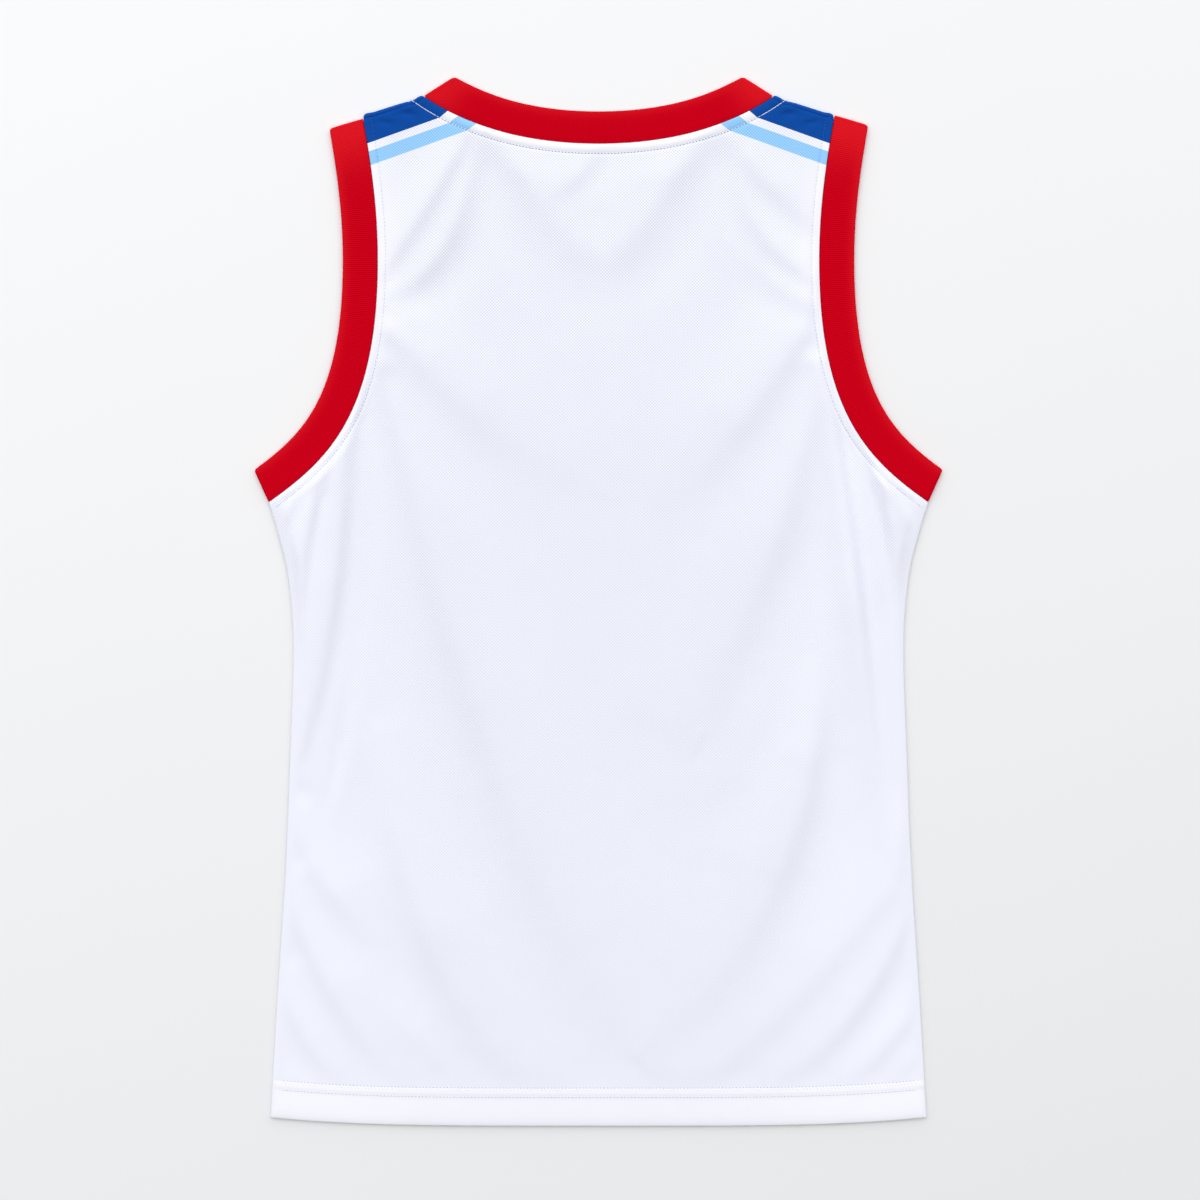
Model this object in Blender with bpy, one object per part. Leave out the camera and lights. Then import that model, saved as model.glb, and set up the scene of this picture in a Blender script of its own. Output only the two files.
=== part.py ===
"""Basketball jersey laid flat on its front, so that its back panel is on top.

Sizes are in millimetres, and place() turns them into Blender's metres. x runs across the garment from
its centre line, up runs from the lowest point of the hem towards the collar, and z is the height above
the surface that the jersey lies on. The cut is symmetrical, so its outline is given for the side with
x above zero. Cloth pieces that are sewn or lie together are SEAM_GAP apart.
"""
from math import atan2, cos, exp, pi, radians, sin

import bmesh
import bpy
from mathutils import Vector

MM = 0.001

# Cloth
WALL = 1.0              # one layer of the body's knit, with the air in its loops
DOUBLED = 2.0           # the body where it is turned up or lies over a seam's allowances
RIB_WALL = 1.8          # the rib strip, folded along its length
SEAM_GAP = 0.3
SEAM_LIFT = 0.1         # how far the body stands above the rib beside it

# Heights of the two layers
BACK_LEVEL = RIB_WALL + SEAM_GAP    # underside of the upper layer where the lower one carries it
BACK_REST = 3.0                     # underside of the back panel away from its edges, between folds
SIDE_LIFT = RIB_WALL - WALL         # how far the lower layer's side edges rise to meet the upper ones

# Outline of the back
HEM_DROP = 6.5          # the hem's middle hangs this far below its corners
HEM_CURVE = 4           # power by which it rises towards them
HEM_HEIGHT = 25.0       # depth of the turn-up
HEM_STEP = 1.5          # width of the step where a second layer ends
SIDE_BAND = 6.0         # width of the edge that rolls down to the side seam
ARM_BAND = 6.0          # seam allowance under the cloth beside an armhole rib
NECK_BAND = 8.0         # the same beside the neck rib
SIDE_SEAM = (           # (up, half_width) from the hem's corner to the underarm
    (6.5, 246.2), (95.0, 241.1), (193.0, 234.9), (280.0, 231.5),
    (360.0, 229.0), (412.0, 232.9), (445.0, 240.6), (468.0, 247.6))
COLLAR_END = Vector((131.8, 772.9))     # where the shoulder seam meets the neck rib
SHOULDER_END = Vector((176.9, 758.5))   # where the shoulder seam meets the armhole rib
RIB_SHOULDER = Vector((176.4, 756.0))   # the rib's own corner there, which the body overlaps a little
UNDERARM = Vector((247.6, 468.0))
BACK_NECK_UP = 737.4    # the back neckline's seam at the centre line
FRONT_NECK_UP = 620.0   # the front one's, cut deeper
BACK_CHEST = Vector((165.6, 649.5))     # narrowest place between the back armholes
FRONT_CHEST = Vector((157.0, 640.0))    # and between the front ones

# Ribs: a strip's width, and the directions of its folds in degrees from +x, from the seam outwards
NECK_RIB = 24.1
NECK_RIB_END = 24.6     # the neck's rib is stretched less beside its folds
ARM_RIB = 26.0
COLLAR_FOLD = 147.5
SHOULDER_FOLD = -16.5
UNDERARM_FOLD = 65.8
SLANT_REACH = 0.25      # share of a half ring's length over which the slant of its fold fades
RIB_EDGE = 1.0          # how far a rib's rounded edge reaches in
TURN_STEPS = 4          # flat faces round the outside of a rib's fold

# Number of stretches that each line of the outline is cut into
NECK_CUTS = 22
SHOULDER_CUTS = 4
ARM_CUTS = (6, 11)      # above and below the narrowest place
SIDE_CUTS = 25

# Largest folds of the back panel: from (x0, up0) to (x1, up1), bowed to the left of that way by bow,
# with the half width of a soft ridge (height above 0) or trough (height below 0)
FOLDS = (
    # x0, up0, x1, up1, bow, half_width, height
    (-196, 495, -223, 325, -4, 15, 2.6),    # ridge under the left arm
    (-176, 500, -196, 300, 6, 13, -0.8),    # trough beside it
    (-134, 500, -14, 120, -16, 20, 1.8),    # long ridge from the left arm to the hem
    (-150, 240, -61, 57, -6, 18, 1.7),      # ridge at the lower left
    (-154, 625, -96, 728, -4, 15, 2.0),     # left shoulder to the neck
    (-52, 722, 62, 722, -54, 19, 1.6),      # hammock below the back neckline
    (156, 600, 60, 520, 4, 20, 1.9),        # right chest
    (150, 500, 62, 322, 14, 19, 2.1),       # ridge from the right arm
    (202, 478, 216, 300, 2, 13, 1.7),       # ridge along the right side
    (146, 285, 84, 105, 8, 19, 1.7),        # ridge at the lower right
    (221, 205, 108, 60, 8, 16, 1.9))        # ridge into the right hem
FOLD_FADE = 24.0        # how far from a seam a fold reaches its full height
FOLD_CUTS = 12

COLOURS = {             # name: (red, green, blue, roughness)
    "white knit": (0.79, 0.80, 0.92, 0.85),
    "red rib": (0.58, 0.0, 0.01, 0.9)}


def bezier(points, s):
    """Point and direction at s of a cubic Bezier curve."""
    a, b, c, d = points
    r = 1 - s
    point = a * r**3 + b * 3 * r * r * s + c * 3 * r * s * s + d * s**3
    slope = (b - a) * r * r + (c - b) * 2 * r * s + (d - c) * s * s
    return point, slope.normalized()


def through(points, cuts):
    """Points of a smooth curve through the given ones, with cuts stretches of equal rise."""
    rows = []
    low, high = points[0].y, points[-1].y
    for k in range(cuts + 1):
        up = low + (high - low) * k / cuts
        i = max(j for j in range(len(points) - 1) if points[j].y <= up + 1e-6)
        a, b = points[i], points[i + 1]
        before, after = points[max(i - 1, 0)], points[min(i + 2, len(points) - 1)]
        step = b.y - a.y
        s = (up - a.y) / step
        start = (b.x - before.x) / (b.y - before.y) * step
        end = (after.x - a.x) / (after.y - a.y) * step
        x = (a.x * (1 - 3 * s**2 + 2 * s**3) + b.x * (3 * s**2 - 2 * s**3)
             + start * (s - 2 * s**2 + s**3) + end * (s**3 - s**2))
        rows.append(Vector((x, up)))
    return rows


def turned(direction, angle):
    """A direction in the plane, turned anticlockwise."""
    return Vector((direction.x * cos(angle) - direction.y * sin(angle),
                   direction.x * sin(angle) + direction.y * cos(angle)))


def mirrored(points):
    """The points on the other side of the centre line, in reverse order."""
    return [Vector((-p.x, p.y)) for p in reversed(points)]


def unit(degrees_from_x):
    """Direction at an angle from +x."""
    return Vector((cos(radians(degrees_from_x)), sin(radians(degrees_from_x))))


def place(point, z):
    """Position in metres of a point of the garment, with the origin under the middle of its box."""
    return Vector((point.x, point.y - MIDDLE_UP, z)) * MM


# Lines of the cut ---------------------------------------------------------------------------------

def back_neck(s):
    """Seam line of the back neck, from the centre line (s = 0) to the shoulder seam (s = 1)."""
    return bezier((Vector((0, BACK_NECK_UP)), Vector((54.5, BACK_NECK_UP)),
                   COLLAR_END - unit(34.0) * 40.5, COLLAR_END), s)


def back_armhole(s):
    """Seam line of the back armhole, from the shoulder (s = 0) to the underarm (s = 1)."""
    top = (SHOULDER_END, SHOULDER_END - unit(80.7) * 30, BACK_CHEST + Vector((0, 45)), BACK_CHEST)
    low = (BACK_CHEST, BACK_CHEST - Vector((0, 115)), UNDERARM - unit(-35.1) * 55, UNDERARM)
    return split_curve(top, low, s)


def split_curve(top, low, s):
    """Point and direction on two joined curves, which share s as their stretches share ARM_CUTS."""
    share = ARM_CUTS[0] / sum(ARM_CUTS)
    if s < share:
        return bezier(top, s / share)
    return bezier(low, (s - share) / (1 - share))


def fold_start(line, corner, degrees, at_end):
    """Where a seam line meets the axis of a rib's fold: its share s, its point and the fold's direction.

    The strip turns about that axis, so it lies as far inside the outline as the strip stands out.
    """
    fold = unit(degrees)
    outward = turned(fold, -pi / 2 if at_end else pi / 2)
    axis = corner - outward * (RIB_WALL + SEAM_GAP / 2)
    s, step = (1.0, -0.002) if at_end else (0.0, 0.002)
    while (line(s)[0] - axis).dot(outward) > 0:
        s += step
    return s, line(s)[0], fold


def folded(direction, fold):
    """The way on of a seam line after the strip has been turned over its fold."""
    return fold * 2 * direction.dot(fold) - direction


COLLAR_S, COLLAR_START, COLLAR_WAY = fold_start(back_neck, COLLAR_END, COLLAR_FOLD, True)
SHOULDER_S, SHOULDER_START, SHOULDER_WAY = fold_start(back_armhole, RIB_SHOULDER, SHOULDER_FOLD, False)
ARMPIT_S, ARMPIT_START, ARMPIT_WAY = fold_start(back_armhole, UNDERARM, UNDERARM_FOLD, True)


def front_neck(s):
    """Seam line of the front neck, from the centre line to the rib's fold at the shoulder."""
    arrival = folded(back_neck(COLLAR_S)[1], COLLAR_WAY)
    return bezier((Vector((0, FRONT_NECK_UP)), Vector((72, FRONT_NECK_UP)),
                   COLLAR_START + arrival * 78, COLLAR_START), s)


def front_armhole(s):
    """Seam line of the front armhole, from the rib's fold at the shoulder to the one underarm."""
    start = folded(back_armhole(SHOULDER_S)[1], SHOULDER_WAY) * -1
    arrival = folded(back_armhole(ARMPIT_S)[1], ARMPIT_WAY)
    top = (SHOULDER_START, SHOULDER_START + start * 38, FRONT_CHEST + Vector((0, 40)), FRONT_CHEST)
    low = (FRONT_CHEST, FRONT_CHEST - Vector((0, 95)), ARMPIT_START + arrival * 62, ARMPIT_START)
    return split_curve(top, low, s)


# Ribs ---------------------------------------------------------------------------------------------

def half_ring(line, shares, folds, widths, side):
    """Stations along a seam line, with the rib's width in the middle and at its ends.

    Across is the way from the seam to the rib's free edge: square to the seam, and along the folds at
    the ends.
    """
    slants = []
    for s, fold in zip((shares[0], shares[-1]), folds):
        square = turned(line(s)[1], side * pi / 2)
        slants.append(atan2(square.x * fold.y - square.y * fold.x, square.dot(fold)))
    stations = []
    for k, s in enumerate(shares):
        along = k / (len(shares) - 1)
        slant = (max(0.0, 1 - along / SLANT_REACH) ** 2 * slants[0]
                 + max(0.0, 1 - (1 - along) / SLANT_REACH) ** 2 * slants[1])
        width = widths[0] + (widths[1] - widths[0]) * (2 * along - 1) ** 2
        point, direction = line(s)
        square = turned(direction, side * pi / 2)
        stations.append({"point": point + square * SEAM_GAP, "across": turned(square, slant),
                         "width": width / cos(slant)})
    return stations


def section(st, turn):
    """Corners of a rib's cross-section at a station, with its face turned from up (pi / 2) to down."""
    height = (RIB_WALL + SEAM_GAP) / 2
    half = RIB_WALL / 2
    profile = ((0, -half), (0, half), (st["width"] - RIB_EDGE, half), (st["width"], 0),
               (st["width"] - RIB_EDGE, -half))
    outward = turned(st["across"], -pi / 2 * st["hand"])
    corners = []
    for reach, lift in profile:
        radius = height + lift
        point = st["point"] + st["across"] * reach + outward * (radius * cos(turn))
        corners.append(place(point, RIB_WALL + SEAM_GAP / 2 + radius * sin(turn)))
    return corners


def rib_ring(name, upper, lower, hand):
    """A closed strip: upper stations, a fold, the lower stations back to the start and a fold."""
    rings = []

    def lay(stations, turn):
        for st in stations:
            rings.append(section(dict(st, hand=hand), turn))

    def fold(st, way):
        for k in range(1, TURN_STEPS):
            turn = pi / 2 - pi * k / TURN_STEPS
            rings.append(section(dict(st, hand=hand * way), turn if way > 0 else -turn))

    lower = upper[:1] + lower[1:-1] + upper[-1:]
    lay(upper, pi / 2)
    fold(upper[-1], 1)
    lay(reversed(lower), -pi / 2)
    fold(upper[0], -1)
    bm = bmesh.new()
    rows = [[bm.verts.new(corner) for corner in ring] for ring in rings]
    for a, b in zip(rows, rows[1:] + rows[:1]):
        for k in range(len(a)):
            n = (k + 1) % len(a)
            bm.faces.new((a[k], a[n], b[n], b[k]))
    return finish(bm, name, "red rib")


def neck_rib():
    """The neck's rib: its back half lies on top, and its deeper front half under the back panel."""
    shares = [2 * k / NECK_CUTS - 1 for k in range(NECK_CUTS + 1)]
    folds = (Vector((-COLLAR_WAY.x, COLLAR_WAY.y)), COLLAR_WAY)
    widths = (NECK_RIB, NECK_RIB_END)
    upper = half_ring(across_centre(back_neck), [COLLAR_S * s for s in shares], folds, widths, 1)
    lower = half_ring(across_centre(front_neck), shares, folds, widths, 1)
    return rib_ring("neck_rib", upper, lower, 1)


def across_centre(line):
    """A line from the centre line made into one across the whole neck, with s from -1 to 1."""
    def whole(s):
        point, direction = line(abs(s))
        if s < 0:
            return Vector((-point.x, point.y)), Vector((direction.x, -direction.y))
        return point, direction
    return whole


def armhole_rib(name, side):
    """An armhole's rib on the side given by the sign of x, folded at the shoulder and the underarm."""
    count = sum(ARM_CUTS)
    shares = [k / count for k in range(count + 1)]
    folds = [Vector((way.x * side, way.y)) for way in (SHOULDER_WAY, ARMPIT_WAY)]

    def on_side(line):
        def whole(s):
            point, direction = line(s)
            return Vector((point.x * side, point.y)), Vector((direction.x * side, direction.y))
        return whole

    between = [SHOULDER_S + (ARMPIT_S - SHOULDER_S) * s for s in shares]
    upper = half_ring(on_side(back_armhole), between, folds, (ARM_RIB, ARM_RIB), side)
    lower = half_ring(on_side(front_armhole), shares, folds, (ARM_RIB, ARM_RIB), side)
    return rib_ring(name, upper, lower, side)


# Panels -------------------------------------------------------------------------------------------

def hem_line(half_width, cuts):
    """The hem from left to right, lowest at the centre line."""
    line = []
    for share in cuts:
        line.append(Vector((half_width * share, HEM_DROP * share ** HEM_CURVE)))
    return line


def column_shares():
    """Places of the back panel's columns, from -1 to 1 across it, with one at each end of the neck."""
    neck_share = COLLAR_END.x / SHOULDER_END.x
    neck = [neck_share * (2 * k / NECK_CUTS - 1) for k in range(NECK_CUTS + 1)]
    shoulder = [neck_share + (1 - neck_share) * k / SHOULDER_CUTS for k in range(1, SHOULDER_CUTS + 1)]
    return [-s for s in reversed(shoulder)] + neck + shoulder


def shoulder_line(start, end):
    """Points of a shoulder seam after its start."""
    return [start.lerp(end, k / SHOULDER_CUTS) for k in range(1, SHOULDER_CUTS + 1)]


def fold_height(point):
    """Height of the back panel's folds at a point, from all of FOLDS."""
    total = 0.0
    for x0, up0, x1, up1, bow, half_width, height in FOLDS:
        start, end = Vector((x0, up0)), Vector((x1, up1))
        sideways = turned((end - start).normalized(), pi / 2)
        bend = (start + end) / 2 + sideways * bow * 2
        best, at = 1e9, 0.0
        for k in range(FOLD_CUTS + 1):
            s = k / FOLD_CUTS
            on = start * (1 - s) ** 2 + bend * 2 * s * (1 - s) + end * s * s
            if (on - point).length < best:
                best, at = (on - point).length, s
        taper = min(1.0, 4 * at, 4 * (1 - at))
        total += height * (0.35 + 0.65 * taper) * exp(-((best / half_width) ** 2))
    return total


def patch(left, right, low, high):
    """Grid of points inside four border lines, blended from all of them."""
    rows = []
    for j, (a, b) in enumerate(zip(left, right)):
        v = (a.y - left[0].y) / (left[-1].y - left[0].y)
        row = []
        for i, (c, d) in enumerate(zip(low, high)):
            u = (c.x - low[0].x) / (low[-1].x - low[0].x)
            corners = (low[0] * (1 - u) * (1 - v) + low[-1] * u * (1 - v)
                       + high[0] * (1 - u) * v + high[-1] * u * v)
            row.append(c * (1 - v) + d * v + a * (1 - u) + b * u - corners)
        rows.append(row)
    return rows


def shifted(a, b, c, distance):
    """Point on the way from a to b, at a distance from the border line that runs from a to c."""
    border = (c - a).normalized()
    depth = abs((b - a).cross(border))
    return a.lerp(b, distance / depth)


def with_border_columns(rows, bands):
    """Adds to each row, at both ends, points at the border band's width and at its step's end."""
    wider = []
    for j, row in enumerate(rows):
        nearby = rows[j + 1] if j + 1 < len(rows) else rows[j - 1]
        left = [shifted(row[0], row[1], nearby[0], bands[j] + extra) for extra in (0, HEM_STEP)]
        right = [shifted(row[-1], row[-2], nearby[-1], bands[j] + extra) for extra in (HEM_STEP, 0)]
        wider.append(row[:1] + left + row[1:-1] + right + row[-1:])
    return wider


def with_top_rows(rows):
    """Adds two rows under the last one, at the neck band's width and at its step's end."""
    top, under = rows[-1], rows[-2]
    new = []
    for extra in (HEM_STEP, 0):
        row = []
        for i, a in enumerate(top):
            nearby = top[i + 1] if i + 1 < len(top) else top[i - 1]
            row.append(shifted(a, under[i], nearby, NECK_BAND + extra))
        new.append(row)
    return rows[:-1] + new + rows[-1:]


def back_panel():
    """The upper layer: a wall with its folds, turned-up hem and allowances along the ribs."""
    side_points = [Vector((half, up)) for up, half in SIDE_SEAM]
    above_hem = [p for p in through(side_points, 200) if p.y >= HEM_DROP + HEM_HEIGHT]
    side = [side_points[0], above_hem[0]] + through_side(side_points, HEM_DROP + HEM_HEIGHT + HEM_STEP)
    count = sum(ARM_CUTS)
    arm = [back_armhole(k / count)[0] for k in range(count, -1, -1)]
    right = side[:-1] + arm
    left = [Vector((-p.x, p.y)) for p in right]
    shares = column_shares()
    low = hem_line(side_points[0].x, shares)
    half_neck = [back_neck(2 * k / NECK_CUTS)[0] for k in range(NECK_CUTS // 2 + 1)]
    half_top = half_neck + shoulder_line(COLLAR_END, SHOULDER_END)
    high = mirrored(half_top[1:]) + half_top
    rows = patch(left, right, low, high)
    arm_row = len(side) - 1
    rows = with_border_columns(rows, [SIDE_BAND if j < arm_row else ARM_BAND for j in range(len(rows))])
    rows = with_top_rows(rows)
    return panel_solid("back_panel", rows, arm_row)


def through_side(points, start_up):
    """Points of the side seam from start_up to the underarm."""
    fine = through(points, 400)
    rows = []
    for k in range(SIDE_CUTS + 1):
        up = start_up + (points[-1].y - start_up) * k / SIDE_CUTS
        rows.append(min(fine, key=lambda p: abs(p.y - up)))
    return rows


def panel_solid(name, rows, arm_row):
    """Closed wall on the grid's points, with undersides and thickness that depend on the place."""
    bm = bmesh.new()
    last_row, last = len(rows) - 1, len(rows[0]) - 1
    under, over = [], []
    for j, row in enumerate(rows):
        lower, upper = [], []
        for i, point in enumerate(row):
            from_side = min(i, last - i)
            from_top = last_row - j
            in_band = j < 2 or from_top < 2 or (j >= arm_row and from_side < 2)
            on_side = from_side == 0 and j < arm_row
            thickness = DOUBLED + SEAM_LIFT if in_band else WALL
            base = BACK_LEVEL if in_band or on_side else BACK_REST
            if not (in_band or on_side):
                edge = min(row[-1].x - abs(point.x), rows[-1][i].y - point.y, point.y - rows[1][i].y)
                base += fold_height(point) * min(1.0, edge / FOLD_FADE)
            base = max(base, BACK_LEVEL)
            lower.append(bm.verts.new(place(point, base)))
            upper.append(bm.verts.new(place(point, base + thickness)))
        under.append(lower)
        over.append(upper)
    for j in range(last_row):
        for i in range(last):
            around = ((j, i), (j, i + 1), (j + 1, i + 1), (j + 1, i))
            for three in along_fold(around, over):
                bm.faces.new([over[m][n] for m, n in three])
                bm.faces.new([under[m][n] for m, n in reversed(three)])
    rim = ([(0, i) for i in range(last)] + [(j, last) for j in range(last_row)]
           + [(last_row, i) for i in range(last, 0, -1)] + [(j, 0) for j in range(last_row, 0, -1)])
    for (j, i), (m, n) in zip(rim, rim[1:] + rim[:1]):
        bm.faces.new((under[j][i], under[m][n], over[m][n], over[j][i]))
    return finish(bm, name, "white knit")


def along_fold(around, over):
    """Two triangles of a cell, parted along the diagonal that rises less, so that edges follow folds."""
    a, b, c, d = around
    heights = [over[m][n].co.z for m, n in around]
    if abs(heights[0] - heights[2]) <= abs(heights[1] - heights[3]):
        return (a, b, c), (a, c, d)
    return (a, b, d), (b, c, d)


def inset(outline, bands):
    """The outline moved in by the band of each of its stretches, from its corners' bisectors."""
    moved = []
    for k, point in enumerate(outline):
        before = point - outline[k - 1]
        after = outline[(k + 1) % len(outline)] - point
        first, second = turned(before.normalized(), pi / 2), turned(after.normalized(), pi / 2)
        a, b = bands[k - 1], bands[k]
        spread = first.x * second.y - first.y * second.x
        if abs(spread) < 0.12:
            moved.append(point + (first * a + second * b) / 2)
        else:
            shift = Vector(((a * second.y - b * first.y) / spread, (b * first.x - a * second.x) / spread))
            moved.append(point + shift)
    return moved


def front_panel():
    """The lower layer: its underside is flat on the floor, and its side edges rise to the back's."""
    side_points = [Vector((half, up)) for up, half in SIDE_SEAM]
    count = sum(ARM_CUTS)
    side = through(side_points, SIDE_CUTS // 3)
    side[-1] = ARMPIT_START
    arm = [front_armhole(k / count)[0] for k in range(count, -1, -1)]
    neck = [front_neck(1 - 2 * k / NECK_CUTS)[0] for k in range(NECK_CUTS // 2)]
    hem = hem_line(side_points[0].x, [k / 4 for k in range(4)])
    stretches = (("hem", hem, HEM_HEIGHT), ("side", side[:-1], SIDE_BAND), ("arm", arm[:-1], ARM_BAND),
                 ("shoulder", arm[-1:], NECK_BAND), ("neck", neck, NECK_BAND))
    half, kinds, bands = [], [], []
    for kind, points, band in stretches:
        half += points
        kinds += [kind] * len(points)
        bands += [band] * len(points)
    outline = half + [front_neck(0)[0]] + mirrored(half[1:])
    kinds += list(reversed(kinds))
    bands += list(reversed(bands))
    inner = inset(outline, bands)
    step = inset(outline, [band + HEM_STEP for band in bands])
    bm = bmesh.new()
    sides = [kinds[k] == "side" and kinds[k - 1] == "side" for k in range(len(outline))]
    by_side = [kinds[k] == "side" or kinds[k - 1] == "side" for k in range(len(outline))]
    loops = (
        [place(p, SIDE_LIFT if s else 0) for p, s in zip(outline, by_side)],
        [place(p, RIB_WALL) for p in outline],
        [place(p, WALL if s else RIB_WALL) for p, s in zip(inner, sides)],
        [place(p, WALL) for p in step])
    bottom, top, band_loop, step_loop = [[bm.verts.new(p) for p in loop] for loop in loops]
    floor = [bm.verts.new(place(p, 0)) for p in inner]
    count = len(outline)
    for k in range(count):
        n = (k + 1) % count
        bm.faces.new((bottom[k], bottom[n], top[n], top[k]))
        bm.faces.new((top[k], top[n], band_loop[n], band_loop[k]))
        bm.faces.new((band_loop[k], band_loop[n], step_loop[n], step_loop[k]))
        bm.faces.new((bottom[n], bottom[k], floor[k], floor[n]))
    bm.faces.new(step_loop)
    bm.faces.new(list(reversed(floor)))
    return finish(bm, "front_panel", "white knit")


# Objects ------------------------------------------------------------------------------------------

def material(name):
    """Principled material with the cloth's colour."""
    red, green, blue, roughness = COLOURS[name]
    made = bpy.data.materials.get(name) or bpy.data.materials.new(name)
    made.use_nodes = True
    shader = made.node_tree.nodes["Principled BSDF"]
    shader.inputs["Base Color"].default_value = (red, green, blue, 1)
    shader.inputs["Roughness"].default_value = roughness
    shader.inputs["Metallic"].default_value = 0
    return made


def finish(bm, name, cloth):
    """Makes an object of the mesh, with its faces pointing out."""
    bmesh.ops.recalc_face_normals(bm, faces=bm.faces)
    mesh = bpy.data.meshes.new(name)
    bm.to_mesh(mesh)
    bm.free()
    mesh.materials.append(material(cloth))
    made = bpy.data.objects.new(name, mesh)
    bpy.context.scene.collection.objects.link(made)
    return made


def collar_tip_up():
    """Height above the hem of the collar's rounded tip, the garment's highest point."""
    square = turned(back_neck(COLLAR_S)[1], pi / 2)
    outward = turned(COLLAR_WAY, -pi / 2)
    start = COLLAR_START + square * SEAM_GAP
    reach = NECK_RIB_END / square.dot(COLLAR_WAY)
    middle = start + COLLAR_WAY * reach + outward * (RIB_WALL + SEAM_GAP) / 2
    edge = start + COLLAR_WAY * (reach - RIB_EDGE) + outward * (RIB_WALL + SEAM_GAP / 2)
    return max(middle.y, edge.y)


MIDDLE_UP = collar_tip_up() / 2


def main():
    for old in list(bpy.data.objects):
        bpy.data.objects.remove(old, do_unlink=True)
    front_panel()
    back_panel()
    neck_rib()
    armhole_rib("armhole_rib_left", -1)
    armhole_rib("armhole_rib_right", 1)


main()
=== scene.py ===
"""Basketball jersey laid flat on its front, seen from straight above.

Sizes are in millimetres until mesh_object() turns them into metres. x runs across the garment from its
centre line, up runs from the lowest point of the hem to the collar, and z is the height above the
floor. The outline is that of the solids that the pieces stand for. A gap is the distance of a point
from a seam or an edge, and a side is -1 on the left and 1 on the right.
"""
import math

import bpy
import numpy as np
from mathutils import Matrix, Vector


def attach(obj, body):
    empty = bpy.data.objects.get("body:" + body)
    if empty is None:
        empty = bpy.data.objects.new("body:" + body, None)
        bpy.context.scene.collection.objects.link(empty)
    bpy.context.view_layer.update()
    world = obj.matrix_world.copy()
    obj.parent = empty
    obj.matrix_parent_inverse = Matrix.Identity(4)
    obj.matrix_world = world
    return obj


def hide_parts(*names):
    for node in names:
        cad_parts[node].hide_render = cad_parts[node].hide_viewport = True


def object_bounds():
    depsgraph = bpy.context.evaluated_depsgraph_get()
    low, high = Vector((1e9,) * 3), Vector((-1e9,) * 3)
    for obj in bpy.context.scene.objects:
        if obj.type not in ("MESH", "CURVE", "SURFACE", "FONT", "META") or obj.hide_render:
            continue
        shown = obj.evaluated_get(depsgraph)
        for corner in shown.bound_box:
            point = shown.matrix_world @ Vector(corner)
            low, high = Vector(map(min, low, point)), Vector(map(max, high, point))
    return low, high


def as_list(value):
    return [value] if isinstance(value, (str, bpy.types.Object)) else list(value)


MM = 0.001
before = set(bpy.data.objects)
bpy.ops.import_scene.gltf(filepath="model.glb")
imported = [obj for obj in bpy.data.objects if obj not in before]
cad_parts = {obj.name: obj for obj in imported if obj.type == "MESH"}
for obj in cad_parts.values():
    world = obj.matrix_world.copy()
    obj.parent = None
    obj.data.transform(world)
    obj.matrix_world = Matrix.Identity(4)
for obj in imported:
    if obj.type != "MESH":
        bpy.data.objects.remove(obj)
cad_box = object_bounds()
MIDDLE_UP = -cad_box[0].y / MM      # the frame's origin is under the middle of the jersey's box

# Outline of the back, as cut
HEM_DROP = 6.5          # the hem's middle hangs this far below its corners
HEM_CURVE = 4           # power by which it rises towards them
SIDE_SEAM = (           # (up, half_width) from the hem's corner to the underarm
    (6.5, 246.2), (95.0, 241.1), (193.0, 234.9), (280.0, 231.5),
    (360.0, 229.0), (412.0, 232.9), (445.0, 240.6), (468.0, 247.6))
COLLAR_END = np.array((131.8, 772.9))       # where the shoulder seam meets the neck rib
SHOULDER_END = np.array((176.9, 758.5))     # where it meets the armhole rib
RIB_SHOULDER = {-1: (176.4, 756.9), 1: (176.6, 759.2)}      # corner of each armhole rib there
UNDERARM = np.array((247.6, 468.0))
BACK_NECK_UP = 737.4    # the back neckline's seam at the centre line
FRONT_NECK_UP = 620.0   # the front one's, cut deeper
BACK_CHEST = np.array((165.6, 649.5))       # narrowest place between the back armholes
FRONT_CHEST = np.array((157.0, 640.0))      # and between the front ones
ABOVE_CHEST = 6 / 17    # share of an armhole's curve that is above it

# Directions of the back's seams at their ends, in degrees from +x, and the curves' handles
COLLAR_SLOPE = 34.0
SHOULDER_SLOPE = 80.7
UNDERARM_SLOPE = -35.1
BACK_NECK_HANDLES = (54.5, 40.5)            # from the centre line to the collar
FRONT_NECK_HANDLES = (72, 78)
BACK_ARM_HANDLES = (30, 45, 115, 55)        # from the shoulder to the underarm
FRONT_ARM_HANDLES = (38, 40, 95, 62)

# The front's cloth where it is rolled over the shoulder's edge
LIP_IN = 1.9            # how far in from its edge the back's edge lies
LIP_RADIUS = 2.25
LIP_LIFT = 0.15
LIP_TURN = (-88, 100)   # where its roll begins and ends, in degrees from level
LIP_ENDS = (0.9, 0.2)   # length over which its ends are rounded, and the share of its height there
LIP_HUMPS = (           # (height, place along it, reach); a place below 0 counts from its outer end
    (0.8, 2.4, 3.4), (-0.6, 9.5, 4.5), (0.7, -3.5, 3.0))
LIP_FOOT = -2.6         # how far in it lies flat on the back
LIP_TUCK = ((-1.1, -0.5), (-1.5, -1.0), (-1.4, -1.7), (-0.8, -1.3))     # its tucked-in end, from its top
LIP_CORNER = (1.6, 2.2)     # how far its outer corner is set back, and over what length

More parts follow.
